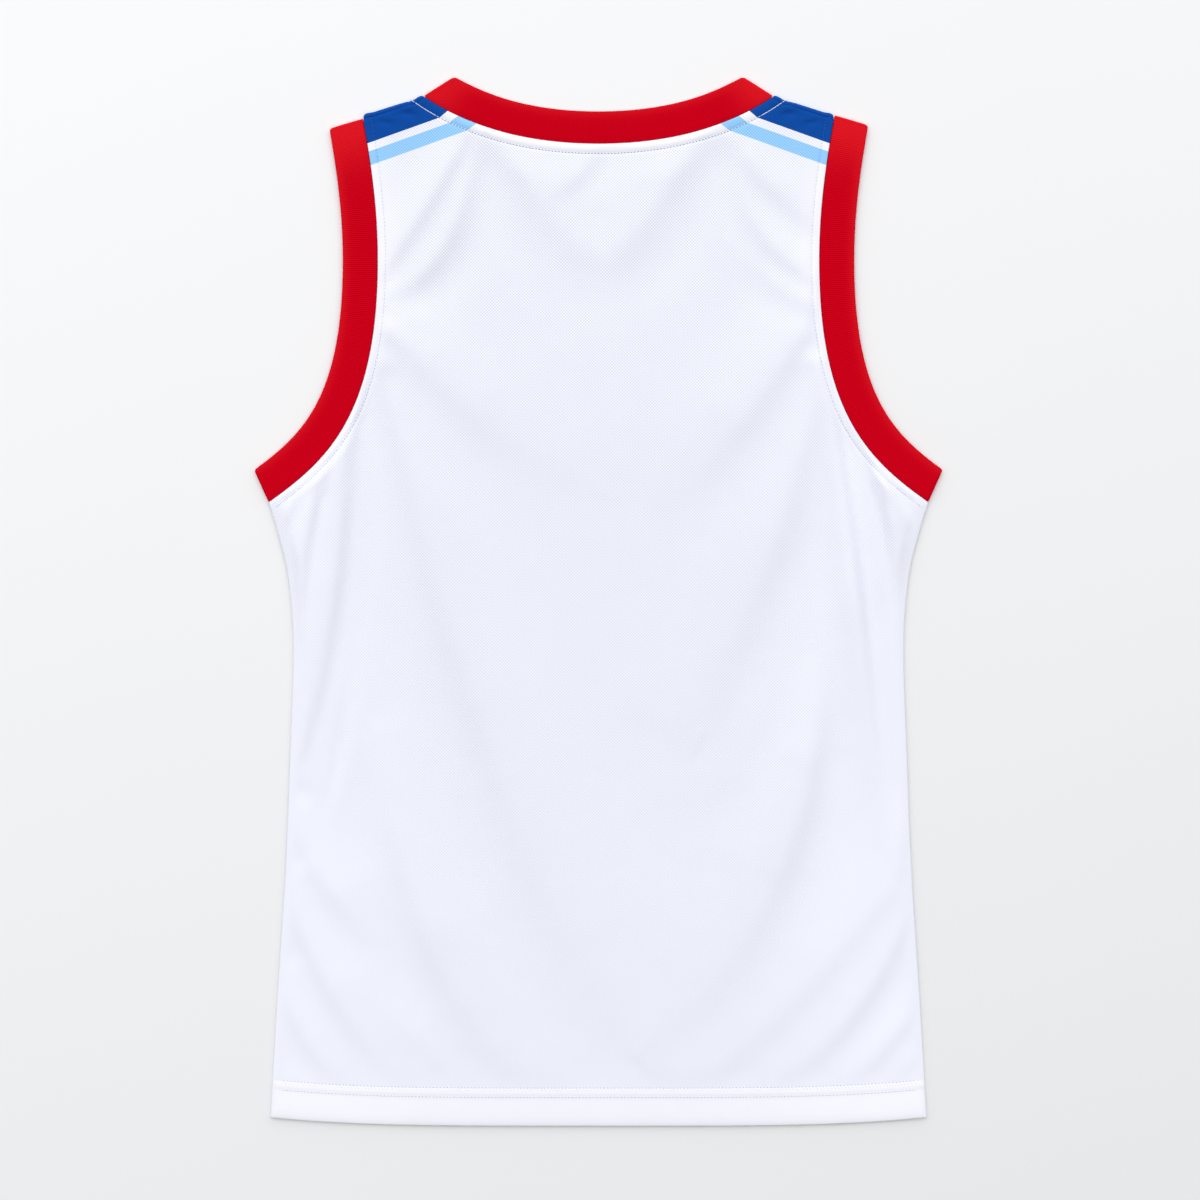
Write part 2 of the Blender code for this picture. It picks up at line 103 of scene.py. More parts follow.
# Heights and thicknesses of the body
TOP_LEVEL = 3.9         # upper face of the back panel between folds
HEM_LEVEL = 3.15        # the same at the hem's stitches
EDGE_LEVEL = 2.6        # at the hem's edge
SIDE_LEVEL = 2.2        # at the side seams
LOWEST = 2.2            # where a trough meets the front panel
ABOVE_HEM = 140.0       # how far above the hem's stitches it reaches TOP_LEVEL
HEM_PLUMP = (0.2, 18.0)     # how much higher it is in the turned-up hem, and how far down
SIDE_REACH = 6.5        # how far in from its edge the rolled side reaches
HEM_REACH = 5.0         # and the rolled hem
SAG = (1.5, 42.0)       # how far the back sinks in the front's neck opening, and over what distance
RIPPLE = 0.09           # unevenness of cloth that lies free
CLOTH = 0.8             # thickness of one layer
DOUBLED = 1.05          # and where it is turned up or lies over a seam allowance
FRONT_HEM_IN = 1.0      # how far the front's hem lies inside the back's
FRONT_SIDE_LIFT = 0.6   # how far the front's side edges rise to the back's
FRONT_FOLDS = (0.2, 0.5)    # the front's creases: share of the back's folds, and the highest

# Ribs
NECK_RIB = 24.1         # width of the neck's strip in the middle
NECK_RIB_END = 25.0     # and at its folds, where it is stretched less
ARM_RIB = 26.0
RIB_WALL = 1.8
SEAM_GAP = 0.3
COLLAR_FOLD = 147.5     # directions of the folds, in degrees from +x
SHOULDER_FOLD = -16.5
UNDERARM_FOLD = 65.8
SLANT_REACH = 0.25      # share of a half ring's length over which its fold's slant fades
RIB_PITCH = 1.45        # one rib of the knit
RIB_DEPTH = 0.11
RIB_STEP = RIB_PITCH / 4    # from one section of a strip to the next
RIB_PLACES = (          # shares of its width from the seam to its folded edge
    0, 0.012, 0.03, 0.065, 0.12, 0.21, 0.33, 0.47, 0.61, 0.74, 0.85, 0.92, 0.955, 0.978, 0.992, 1.0)
RIB_EDGE = 1.15         # how far the rounding of its folded edge reaches
RIB_SEAM = (0.7, 3.2, 0.7)  # share by which it is thinner at its seam, how far in, and the power
RIB_CROWN = 0.12        # share by which it is thicker in its middle
RIB_UNDER = 0.9         # thickness below its middle, as a share of that above
RIB_SHIFT = 1.2         # the most that its edge is longer or shorter in a fold, in radii
RIB_TURN_FADE = 7.0     # how far a fold's slanting edge is felt along the lower half
ARM_RIB_HIGHLIGHT = (28.0, 1.0, 0.0)     # painted highlight: how far from its folds a rib is painted lighter; how much at the first, at the last
NECK_RIB_HIGHLIGHT = (17.0, 0.85, 0.85)  # the same for the neck rib
ARM_CORNER = 0.35       # how round the last fold's outer corner is, beside the first fold's
RIB_EDGE_HIGHLIGHT = (0.55, 4.6)     # painted highlight: how much lighter a rib's folded edge is painted, and how far in

# Bands and stitches
NECK_BAND = 7.4         # width of the seam allowance under the cloth beside the neck rib
ARM_BAND = 5.8          # and beside the armhole ribs
BAND_CREST = 0.35       # rise of the cloth over an allowance
BAND_ROUND = 0.6        # power that moves its crest towards the seam
BAND_FLAT = 10.0        # how far from the side seams an armhole's band is flatter
BAND_EDGE = 1.2         # width over which double cloth gives way to single
HEM_EDGE = 0.8          # the same at the back's hem; the front's is twice as wide
SIDE_EDGE = 4.0         # and towards the sides
SHOULDER_BAND = 4.0     # width of the double cloth beside the shoulder's edge
FRONT_BAND = 7.0        # and beside the front's ribs
ARM_HIGHLIGHT_LINE = (1.6, 0.5)  # a painted highlight, a whiter line beyond an armhole's band: place and reach
ARM_PAINTED_LIGHT = ((470, 540, 640), (0.15, 0.55, 1.0))    # painted light: how much whiter the cloth is painted beside the armholes, by up
ARM_PAINTED_GLOW = (0.9, 13.0, 590, 60)     # the same painted light above the chest: how much, how far in, from where up
HEM_HEIGHT = 28.3       # from the hem's edge to where its doubled cloth ends
HEM_ROWS = (1.2, 6.5)   # from there to its two rows of stitches
HEM_PUFF = 0.34         # rise of the cloth between them
GROOVE = (1.3, 0.75)    # half width of the groove along the stitches, towards the seam and beyond
NECK_GROOVE, ARM_GROOVE, FRONT_GROOVE = 0.45, 0.42, 0.25    # its depths in the back and the front
HEM_GROOVE = 0.7        # half width of the front's grooves along the hem's rows
SHOULDER_CREST = (0.5, 3.0, 2.2)    # the back beside the shoulder's roll: rise, place and reach
SHOULDER_DIP = 1.2      # and the reach of its dip at the edge
STITCH = 2.6            # from one stitch to the next
NECK_STITCH = 2.45      # the same at the neck
NECK_STITCH_ON = 9.4    # how far the neck's topstitch runs on to the shoulder's edge
ARM_HOLE_SHADE_BELOW = 600   # up to where the painted shade of an armhole's needle holes shows
YOKE_FROM = 120         # from where the neck's topstitch lies heavier, on the yoke's edge
WHITE_TO = 124          # and to where the white row runs

# Stripes: distances below the blue yoke's lower edge, which is a line through a point at a slope
YOKE_POINT = np.array((150.0, 745.7))
YOKE_SLOPE = math.radians(-19.7)
YOKE_GAP = 6.1          # white between the yoke and the sky stripe
SKY_STRIPE = 10.1
YOKE_KINK = 2.7         # how far the stripes turn up over the neck's seam allowance

RIGHT_TUCK = ((194, 530), (203, 496), (213, 455), (220, 410), (224, 375))

# Folds of the back panel. Each runs from left to right through its points (x, up). The cloth rises
# gently on its left-hand side and falls on its right-hand side. Widths and heights are given at the
# start, the middle and the end.
FOLDS = (
    # upper left
    (((-168, 628), (-153, 648), (-125, 690), (-93, 750)), (8, 8, 5), (1.5, 2.0, 1.1)),
    (((-176, 621), (-157, 622), (-140, 628), (-125, 640), (-112, 658), (-102, 680), (-84, 748)),
     (9, 11, 8), (2.6, 2.2, 1.2)),
    (((-170, 615), (-150, 608), (-124, 597)), (5.5, 6, 8), (1.5, 1.1, 0)),
    (((-172, 606), (-145, 578), (-130, 560), (-95, 525), (-60, 500), (-10, 478)), (10, 19, 26),
     (2.2, 2.0, 0.5)),
    # left side
    (((-232, 256), (-218, 284), (-203, 340), (-193, 400), (-188, 450), (-184, 500), (-176, 562)),
     (10, 10, 9), (0.7, 3.1, 2.6)),
    (((-230, 330), (-222, 375), (-214, 440), (-203, 492), (-192, 530)), (7, 7, 6), (0.3, 2.2, 2.0)),
    (((-240, 436), (-234, 452), (-222, 478)), (4, 4, 4), (0.8, 1.0, 0.8)),
    (((-238, 232), (-215, 190), (-185, 148), (-150, 124)), (8, 12, 16), (0.7, 1.7, 0)),
    (((-240, 182), (-222, 135), (-190, 75), (-150, 30)), (9, 12, 12), (1.5, 2.0, 0.5)),
    (((-244, 110), (-220, 58), (-192, 24)), (8, 9, 9), (1.1, 1.3, 0.4)),
    # the long fold from the left armhole to the hem
    (((-176, 590), (-152, 506), (-129, 410), (-97, 305), (-62, 203), (-15, 103), (20, 60)),
     (12, 20, 28), (2.1, 3.0, 0.8)),
    (((-172, 290), (-158, 215), (-144, 168), (-122, 112), (-85, 54), (-50, 22)), (12, 16, 16),
     (0.5, 2.3, 0.6)),
    (((-172, 100), (-140, 60), (-106, 30)), (9, 12, 12), (0, 0.8, 0.3)),
    # hammock below the neck
    (((-84, 745), (-56, 700), (-30, 664), (2, 646), (28, 658), (52, 692), (82, 745)), (13, 20, 13),
     (2.7, 2.1, 3.1)),
    (((-34, 694), (-12, 712), (4, 738)), (7, 7, 6), (0.3, 1.2, 0.9)),
    # upper right
    (((90, 748), (103, 704), (114, 676), (130, 655), (146, 642), (172, 622)), (8, 8, 8),
     (0.4, 1.2, 2.8)),
    (((100, 736), (122, 707), (158, 674)), (7, 8, 9), (0.9, 1.7, 0.9)),
    (((100, 656), (122, 638), (140, 622), (176, 604)), (11, 9, 8), (0.3, 1.6, 1.9)),
    (((45, 450), (85, 490), (115, 527), (145, 572), (168, 612)), (26, 17, 12), (0, 2.5, 2.2)),
    (((82, 300), (105, 352), (128, 405), (147, 460), (162, 520), (176, 590)), (22, 17, 11),
     (0.7, 2.6, 1.5)),
    # lower right
    (((44, 62), (85, 94), (118, 138), (141, 184), (157, 232), (166, 280), (172, 352)), (22, 18, 14),
     (0.4, 2.3, 0)),
    (((140, 178), (157, 232), (165, 272), (171, 320), (174, 380)), (12, 13, 12), (0, 1.9, 0.2)),
    (((72, 210), (110, 272), (140, 340), (160, 420)), (15, 17, 14), (0, 0.7, 0)),
    (((72, 22), (110, 52), (155, 94), (195, 140), (222, 174), (250, 226)), (14, 15, 11),
     (0.8, 1.7, 1.1)),
    (((138, 30), (165, 50), (190, 76), (213, 110), (240, 166)), (11, 11, 8), (0.9, 2.1, 1.1)),
    (((192, 30), (215, 54), (246, 92)), (8, 8, 7), (0.7, 1.1, 0.7)),
    (((226, 34), (250, 62)), (5, 5, 5), (0.4, 0.7, 0.5)),
    # right side
    (((218, 205), (208, 310), (202, 370), (195, 430), (189, 470), (181, 525), (174, 576)), (9, 8, 6),
     (0, 3.4, 2.0)),
    (RIGHT_TUCK, (6, 6, 6), (2.0, 2.6, 0.3)))
FOLD_LEAN = 0.65        # from a fold's falling line to its crest, in widths
FALL, RISE = 0.85, 2.3  # how far its two sides reach, in widths
TROUGH = (0.35, 1.3, 1.2)   # the trough along its foot: share of its height, place and reach in widths
UPRIGHT = (0.5, 1.5)    # how the folds' height changes from lying across to running up
FOLD_REACH = 4.5        # beyond this many widths a fold isn't felt

# Creases between two swells, given in the same way
CREASES = (
    (((-228, 268), (-216, 290), (-203, 340), (-193, 400), (-188, 450), (-184, 500), (-177, 548),
      (-172, 575)), (7.5, 8.2, 7.0), (0.6, 2.4, 1.9)),
    (((-229, 340), (-222, 375), (-214, 440), (-203, 492), (-193, 528)), (5.4, 5.6, 5.0),
     (0.3, 2.6, 2.2)),
    (((-209, 226), (-196, 272), (-184, 350)), (6, 7, 7), (0, 1.8, 0)),
    (((-232, 254), (-212, 243)), (7, 7, 7), (0.5, 0.6, 0)),
    (((174, 575), (181, 525), (189, 470), (195, 430), (202, 370), (208, 310), (213, 240)),
     (5.0, 6.4, 7.0), (0.8, 4.4, 0)),
    (RIGHT_TUCK, (4.6, 5.2, 5.6), (2.4, 4.4, 0)),
    (((216, 490), (226, 474), (238, 456)), (3.4, 3.4, 3.4), (2.0, 2.8, 2.0)),
    (((-248, 462), (-236, 456)), (3, 3, 3), (1.2, 0.8, 0)),
    (((236, 456), (248, 462)), (3, 3, 3), (0, 0.8, 1.2)))
SWELL = (0.75, 2.4)     # the swells' share of a crease's depth, and their reach in widths

# Small wrinkles in the blue yoke beside the left armhole, given in the same way. The right one has
# them mirrored.
WRINKLES = (
    (((-163, 753.5), (-157, 752.3), (-151, 751.7)), (2.0, 2.4, 2.0), (0.7, 1.9, 0.6)),
    (((-149, 760.6), (-143, 759.6), (-137.6, 758.3)), (2.4, 3.0, 2.4), (0.6, 2.0, 0.9)))

# How folds fade towards seams and edges: from which gap on, and over what distance
SEAM_FADE = (-0.5, 8.0)     # to nothing at the neck and the armholes
NECK_FADE = (3.0, 28.0)     # and before that to a share
ARM_FADE = (3.0, 9.0)
NECK_FOLD, ARM_FOLD = 0.42, 0.45    # that share
SHOULDER_FADE = (3.0, 10.0)
SIDE_FADE = (1.0, 11.0)
HEM_FADE = (-4.0, 22.0)     # counted from the hem's stitches
HEM_FOLD = 0.16         # share of a fold's height that is left there
FRONT_SEAM_FADE = (8.0, 14.0)
FRONT_SIDE_FADE = (0.0, 9.0)
FRONT_HEM_FADE = (0.0, 25.0)

# Grids: distances from a border, and numbers of even stretches between them
FROM_SIDE = (0, 0.12, 0.35, 0.8, 1.4, 2.2, 3.3, 4.4, 5.2, 5.8, 6.4, 6.9, 7.4, 8.0, 9.6)
FROM_TOP = (0, 0.12, 0.35, 0.8, 1.5, 2.4, 3.8, 5.2, 6.2, 6.9, 7.4, 7.9, 8.5, 9.3, 11.2)
FROM_HEM = (0, 0.15, 0.45, 1, 2, 4, 8, 13, 18, 21.1, 21.8, 22.5, 23.5, 24.7, 25.9, 26.8, 27.5, 28.0,
            28.5, 29.1, 30.5, 33.4)
BACK_CUTS = ((30, 112), (100, 70))      # columns beside and below the neck; rows beside side and arm
FRONT_CUTS = ((9, 66), (84, 56))
WIDEST = 1.7            # the most that a band of a leaning border is widened
EVENED = 15             # number of lines over which that is evened out


# Lines ----------------------------------------------------

def unit(degrees):
    """Direction at an angle from +x."""
    return np.array((math.cos(math.radians(degrees)), math.sin(math.radians(degrees))))


def turned(v, angle):
    """Directions in the plane, turned anticlockwise."""
    c, s = np.cos(angle), np.sin(angle)
    return np.stack((v[..., 0] * c - v[..., 1] * s, v[..., 0] * s + v[..., 1] * c), -1)


def bezier(points, s):
    """Points and directions at the shares s of a cubic Bezier curve."""
    a, b, c, d = (np.asarray(p, float) for p in points)
    s = np.asarray(s, float)[..., None]
    r = 1 - s
    point = a * r**3 + b * 3 * r * r * s + c * 3 * r * s * s + d * s**3
    slope = (b - a) * r * r + (c - b) * 2 * r * s + (d - c) * s * s
    return point, slope / np.linalg.norm(slope, axis=-1, keepdims=True)


def smooth_line(points, steps):
    """Points of a smooth curve through the given ones, with this many steps between two of them."""
    points = np.asarray(points, float)
    ends = np.vstack((2 * points[0] - points[1], points, 2 * points[-1] - points[-2]))
    s = np.linspace(0, 1, steps, endpoint=False)[:, None]
    pieces = []
    for a, b, c, d in zip(ends, ends[1:], ends[2:], ends[3:]):
        pieces.append(b + (c - a) * s / 2 + (2 * a - 5 * b + 4 * c - d) * s**2 / 2
                      + (3 * b - a - 3 * c + d) * s**3 / 2)
    return np.vstack(pieces + [points[-1:]])


def run_of(line):
    """Length run at each point of a line."""
    return np.concatenate(((0.0,), np.cumsum(np.linalg.norm(np.diff(line, axis=0), axis=1))))


def at_run(line, at):
    """Points of a line at these lengths run."""
    run = run_of(line)
    return np.stack([np.interp(at, run, line[:, k]) for k in (0, 1)], -1)


def at_share(line, share):
    """Points at shares of a line's length."""
    return at_run(line, np.asarray(share) * run_of(line)[-1])


def nearest(points, line):
    """Distance of each point from a line, its signed distance to the line's left, and the run there."""
    points = points.reshape(-1, 2)
    best = np.full(len(points), np.inf)
    left, run = np.zeros(len(points)), np.zeros(len(points))
    start = 0.0
    for a, b in zip(line, line[1:]):
        step = b - a
        size = np.linalg.norm(step)
        off = points - a
        t = np.clip(off @ step / size**2, 0, 1)
        gap = np.linalg.norm(off - t[:, None] * step, axis=1)
        closer = gap < best
        best[closer] = gap[closer]
        hand = np.sign(step[0] * off[:, 1] - step[1] * off[:, 0])
        left[closer] = (hand * gap)[closer]
        run[closer] = start + (t * size)[closer]
        start += size
    return best, left, run


def gap_from(line, flat):
    """Distance of each point from a line of the right half, or for the left half from its mirror."""
    return nearest(np.abs(flat), line)[0].reshape(flat.shape[:-1])


def soft_step(x):
    """From 0 to 1, level at both ends."""
    x = np.clip(x, 0, 1)
    return x * x * (3 - 2 * x)


def fade(gap, start, reach):
    """From 0 to 1 over a distance."""
    return soft_step((gap - start) / reach)


def rounded(x):
    """From 0 to 1 on a quarter of a circle, upright at 0."""
    return np.sqrt(1 - (1 - np.clip(x, 0, 1)) ** 2)


def bell(x):
    """1 at 0, falling away softly to both sides."""
    return np.exp(-x**2)


def other_side(line):
    """The line mirrored about the centre line, in reverse order."""
    return line[::-1] * (-1, 1)


# Lines of the cut -----------------------------------------

def armhole(top, top_way, chest, low, low_way, handles):
    """Seam line of an armhole: two curves that meet, upright, where the chest is narrowest."""
    upper = (top, top + top_way * handles[0], chest + (0, handles[1]), chest)
    lower = (chest, chest - (0, handles[2]), low + low_way * handles[3], low)

    def line(s):
        s = np.asarray(s, float)
        above = s < ABOVE_CHEST
        a = bezier(upper, np.where(above, s / ABOVE_CHEST, 1))
        b = bezier(lower, np.where(above, 0, (s - ABOVE_CHEST) / (1 - ABOVE_CHEST)))
        return tuple(np.where(above[..., None], p, q) for p, q in zip(a, b))
    return line


back_armhole = armhole(SHOULDER_END, -unit(SHOULDER_SLOPE), BACK_CHEST, UNDERARM, -unit(UNDERARM_SLOPE),
                       BACK_ARM_HANDLES)


def back_neck(s):
    """Seam line of the back neck, from the centre line (s = 0) to the shoulder (s = 1)."""
    middle, end = BACK_NECK_HANDLES
    return bezier(((0, BACK_NECK_UP), (middle, BACK_NECK_UP),
                   COLLAR_END - unit(COLLAR_SLOPE) * end, COLLAR_END), s)


def fold_start(line, corner, degrees, at_end):
    """Where a seam line meets the axis about which a rib's strip turns over.

    Gives its share of the line, its point, the fold's direction and the line's way on after the turn.
    """
    fold = unit(degrees)
    outward = turned(fold, -math.pi / 2 if at_end else math.pi / 2)
    axis = corner - outward * (RIB_WALL + SEAM_GAP / 2)
    shares = np.linspace(1, 0, 501) if at_end else np.linspace(0, 1, 501)
    inside = (line(shares)[0] - axis) @ outward <= 0
    s = shares[np.argmax(inside)]
    point, direction = line(s)
    return s, point, fold, fold * 2 * (direction @ fold) - direction


COLLAR_S, COLLAR_START, COLLAR_WAY, COLLAR_ON = fold_start(back_neck, COLLAR_END, COLLAR_FOLD, True)
SHOULDERS = {side: fold_start(back_armhole, corner, SHOULDER_FOLD, False)
             for side, corner in RIB_SHOULDER.items()}
ARMPIT_S, ARMPIT_START, ARMPIT_WAY, ARMPIT_ON = fold_start(back_armhole, UNDERARM, UNDERARM_FOLD, True)


def front_neck(s):
    """Seam line of the front neck, from the centre line to the rib's fold at the shoulder."""
    middle, end = FRONT_NECK_HANDLES
    return bezier(((0, FRONT_NECK_UP), (middle, FRONT_NECK_UP),
                   COLLAR_START + COLLAR_ON * end, COLLAR_START), s)


def front_armhole(side):
    """Seam line of the front armhole, between the folds of the rib on this side."""
    _, start, _, onward = SHOULDERS[side]
    return armhole(start, -onward, FRONT_CHEST, ARMPIT_START, ARMPIT_ON, FRONT_ARM_HANDLES)


def whole_neck(line):
    """Points of a neck's seam line from left to right."""
    half = line(CURVE)[0]
    return np.vstack((other_side(half)[:-1], half))


def hem_up(x):
    """Height of the hem's edge at x."""
    return HEM_DROP * np.abs(x / SIDE_SEAM[0][1]) ** HEM_CURVE


def hem_edge(count):
    """Points of the hem's edge from left to right."""
    x = np.linspace(-SIDE_SEAM[0][1], SIDE_SEAM[0][1], count)
    return np.stack((x, hem_up(x)), -1)


def lip_line():
    """The right shoulder's outer edge, with its humps, and the direction out of it."""
    way = SHOULDER_END - COLLAR_END
    line = COLLAR_END + way * np.linspace(0, 1, 60)[:, None]
    outward = turned(way, math.pi / 2) / np.linalg.norm(way)
    run = run_of(line)
    out = -LIP_CORNER[0] * np.clip(1 - (run[-1] - run) / LIP_CORNER[1], 0, 1) ** 2
    for height, place, reach in LIP_HUMPS:
        middle = place if place > 0 else run[-1] + place
        out += height * bell((run - middle) / reach)
    return line + outward * out[:, None], outward


CURVE = np.linspace(0, 1, 81)
NECK_LINE = whole_neck(back_neck)
SCOOP_LINE = whole_neck(front_neck)
ARM_LINE = back_armhole(CURVE)[0]
FRONT_ARM_LINE = front_armhole(-1)(CURVE)[0]
SIDE_LINE = smooth_line([(half, up) for up, half in SIDE_SEAM], 10)


# Meshes ---------------------------------------------------

def mesh_object(name, points, faces, material, **values):
    """Smooth object of points in mm and faces of four, with a value at each point for each name."""
    mesh = bpy.data.meshes.new(name)
    placed = (np.asarray(points) - (0, MIDDLE_UP, 0)) * MM
    mesh.from_pydata(placed.tolist(), [], np.asarray(faces).tolist())
    for key, value in values.items():
        layer = mesh.attributes.new(key, "FLOAT", "POINT")
        layer.data.foreach_set("value", np.ascontiguousarray(value, np.float32).ravel())
    mesh.shade_smooth()
    mesh.materials.append(material)
    mesh.validate()
    made = bpy.data.objects.new(name, mesh)
    bpy.context.scene.collection.objects.link(made)
    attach(made, "root")
    return made


def grid_faces(rows, columns, closed_rows=False, closed_columns=False):
    """Faces of a grid whose points are counted along its rows."""
    j = np.arange(rows if closed_rows else rows - 1)[:, None]
    i = np.arange(columns if closed_columns else columns - 1)[None, :]
    right, above = (i + 1) % columns, (j + 1) % rows
    return np.stack((j * columns + i, j * columns + right, above * columns + right,
                     above * columns + i), -1).reshape(-1, 4)


def wall(name, flat, over, under, material, **values):
    """Closed wall on a grid of flat points, whose two faces meet in the grid's rim."""
    rows, columns = over.shape
    inner = np.zeros((rows, columns), bool)
    inner[1:-1, 1:-1] = True
    inner = inner.ravel()
    top, bottom = (np.concatenate((flat, z[..., None]), -1).reshape(-1, 3) for z in (over, under))
    top[~inner, 2] = (top + bottom)[~inner, 2] / 2
    number = np.arange(rows * columns)
    number[inner] = rows * columns + np.arange(inner.sum())
    faces = grid_faces(rows, columns)
    both = np.vstack((faces, number[faces][:, ::-1]))
    values = {key: np.concatenate((v.ravel(), v.ravel()[inner])) for key, v in values.items()}
    return mesh_object(name, np.vstack((top, bottom[inner])), both, material, **values)


def spread(length, near, far, cuts, locks):
    """Shares of lines of these lengths: at set distances from both ends, and even stretches between.

    cuts says how many stretches lie before, between and after the two locks, which are shares of the
    even part.
    """
    inner = np.concatenate([np.linspace(a, b, count, endpoint=False)
                            for a, b, count in zip((0, *locks), (*locks, 1), cuts)])[1:]
    length, far = length[:, None], far[:, ::-1]
    middle = near[:, -1:] + inner * (length - near[:, -1:] - far[:, :1])
    return np.hstack((near, middle, length - far)) / length


def widened(distances, line, shares, axis):
    """Distances from a leaning border, measured along the grid's lines that meet it at the shares."""
    slope = np.abs(np.gradient(at_share(line, shares), axis=0))
    lean = slope[:, axis] / np.maximum(slope[:, 1 - axis], 1e-6)
    stretch = np.minimum(np.hypot(1, lean), WIDEST)
    weights = np.hanning(EVENED + 2)[1:-1]
    padded = np.pad(stretch, EVENED // 2, mode="edge")
    return np.convolve(padded, weights / weights.sum(), mode="valid")[:, None] * distances


def panel_grid(low, right, high, corner, top_corner, cuts):
    """Grid of points inside a panel's border lines.

    right runs up with the underarm at its point number corner, and high runs across with a collar's
    end at its point number top_corner.
    """
    left = right * (-1, 1)

    def blend(u, v):
        """Points at shares across and up, from all four borders."""
        a, b, c, d = at_share(low, u), at_share(high, u), at_share(left, v), at_share(right, v)
        u, v = u[..., None], v[..., None]
        flat = (low[0] * (1 - u) * (1 - v) + low[-1] * u * (1 - v)
                + high[0] * (1 - u) * v + high[-1] * u * v)
        return a * (1 - v) + b * v + c * (1 - u) + d * u - flat

    def lengths(points, axis):
        return np.linalg.norm(np.diff(points, axis=axis), axis=-1).sum(axis)

    from_side, from_top, from_hem = (np.array((d,)) for d in (FROM_SIDE, FROM_TOP, FROM_HEM))
    fine = np.linspace(0, 1, 160)
    across, rows = cuts
    side_run, top_run = run_of(right), run_of(high)
    near, even = FROM_HEM[-1], side_run[-1] - FROM_HEM[-1] - FROM_TOP[-1]
    row_cuts = ((*rows, 1), ((side_run[corner] - near) / even, 1 - 1 / (sum(rows) + 1)))
    v = spread(side_run[-1:], from_hem, from_top, *row_cuts)[0]
    edge = FROM_SIDE[-1]
    reach = (top_run[len(high) - 1 - top_corner] - edge) / (top_run[-1] - 2 * edge)
    offsets = widened(from_side, right, v, 0)
    width = lengths(blend(*np.broadcast_arrays(fine[None, :], v[:, None])), 1)
    u = spread(width, offsets, offsets, (across[0], across[1], across[0]), (reach, 1 - reach))
    columns = u[0]
    height = lengths(blend(*np.broadcast_arrays(columns[None, :], fine[:, None])), 0)
    from_hem = np.repeat(from_hem, len(columns), 0)
    v = spread(height, from_hem, widened(from_top, high, columns, 1), *row_cuts)
    return blend(u, v.T)


# Heights --------------------------------------------------

def fold_heights(flat, folds, crease=False):
    """Height of the folds or creases at the points of a grid."""
    points = flat.reshape(-1, 2)
    total = np.zeros(len(points))
    for path, widths, heights in folds:
        line = smooth_line(path, 6)
        reach = FOLD_REACH * max(widths)
        close = np.all((points > line.min(0) - reach) & (points < line.max(0) + reach), axis=1)
        _, left, run = nearest(points[close], line)
        lengths = run_of(line)
        width, height = (np.interp(run / lengths[-1], (0, 0.5, 1), values) for values in (widths, heights))
        beyond = past_ends(points[close], line) / width
        off = left / width
        if crease:
            shape = SWELL[0] * bell(off / SWELL[1]) - bell(off)
        else:
            way = np.gradient(line, axis=0)
            upright = np.interp(run, lengths, way[:, 1] ** 2 / (way**2).sum(1))
            height *= UPRIGHT[0] + (UPRIGHT[1] - UPRIGHT[0]) * upright
            trough = TROUGH[0] * bell((off + TROUGH[1]) / TROUGH[2])
            off = off - FOLD_LEAN
            shape = bell(off / np.where(off > 0, RISE, FALL)) - trough
        total[close] += height * shape * bell(beyond)
    return total.reshape(flat.shape[:-1])


def past_ends(points, line):
    """How far points are past the nearer end of a line, measured along its direction there."""
    gaps, past = [], []
    for end, inner in ((line[0], line[1]), (line[-1], line[-2])):
        gaps.append(np.linalg.norm(points - end, axis=1))
        past.append((points - end) @ ((end - inner) / np.linalg.norm(end - inner)))
    return np.maximum(np.where(gaps[0] < gaps[1], *past), 0)


def ripple(flat):
    """Slight unevenness of cloth that lies free: two crossed waves, each bent by the other way."""
    x, up = flat[..., 0], flat[..., 1]
    return RIPPLE * (np.sin(x / 23 + up / 61) * np.sin(up / 37 - x / 83 + 1.3)
                     + 0.6 * np.sin(x / 13.7 - up / 29 + 0.7) * np.sin(up / 19.3 + x / 47))


def band_lift(gap, width, groove):
    """Height across a stitched-down allowance: low at the seam, round, and a groove at its stitches."""
    puff = BAND_CREST * np.sin(np.pi * np.clip(gap / width, 0, 1) ** BAND_ROUND)
    return puff - groove * bell((gap - width) / np.where(gap < width, *GROOVE))


def half_wall(gap, thick):
    """Half of a wall's thickness near its rounded edge."""
    return thick / 2 * rounded(gap / (thick / 2))


def sag(flat):
    """How far the back lies lower where the front's neck opening leaves it without support."""
    gap, left, _ = nearest(flat, SCOOP_LINE)
    inside = (left > 0) & (np.abs(flat[..., 0].ravel()) < COLLAR_END[0])
    depth = np.where(inside, gap - NECK_RIB, 0)
    return SAG[0] * soft_step(depth / SAG[1]).reshape(flat.shape[:-1])


def stripe_place(flat, neck_gap=math.inf):
    """Distance above the blue yoke's lower edge, with the turn over the neck's seam allowance."""
    x = np.abs(flat[..., 0])
    normal = turned(unit(0), YOKE_SLOPE + math.pi / 2)
    place = (x - YOKE_POINT[0]) * normal[0] + (flat[..., 1] - YOKE_POINT[1]) * normal[1]
    return place - YOKE_KINK * np.clip(1 - neck_gap / NECK_BAND, 0, 1)


# Panels ---------------------------------------------------

def back_grid():
    """Grid of the upper layer, and its points' gaps from the neck, arm, side, shoulder and hem."""
    right = np.vstack((SIDE_LINE[:-1], ARM_LINE[::-1]))
    edge, outward = lip_line()
    shoulder = (edge - outward * LIP_IN)[2:]
    high = np.vstack((other_side(shoulder), NECK_LINE, shoulder))
    right[-1] = high[-1]
    flat = panel_grid(hem_edge(120), right, high, len(SIDE_LINE) - 1, len(high) - len(shoulder) - 1,
                      BACK_CUTS)
    gaps = [gap_from(line, flat) for line in (NECK_LINE, ARM_LINE, SIDE_LINE, shoulder)]
    return flat, *gaps, flat[..., 1] - hem_up(flat[..., 0])


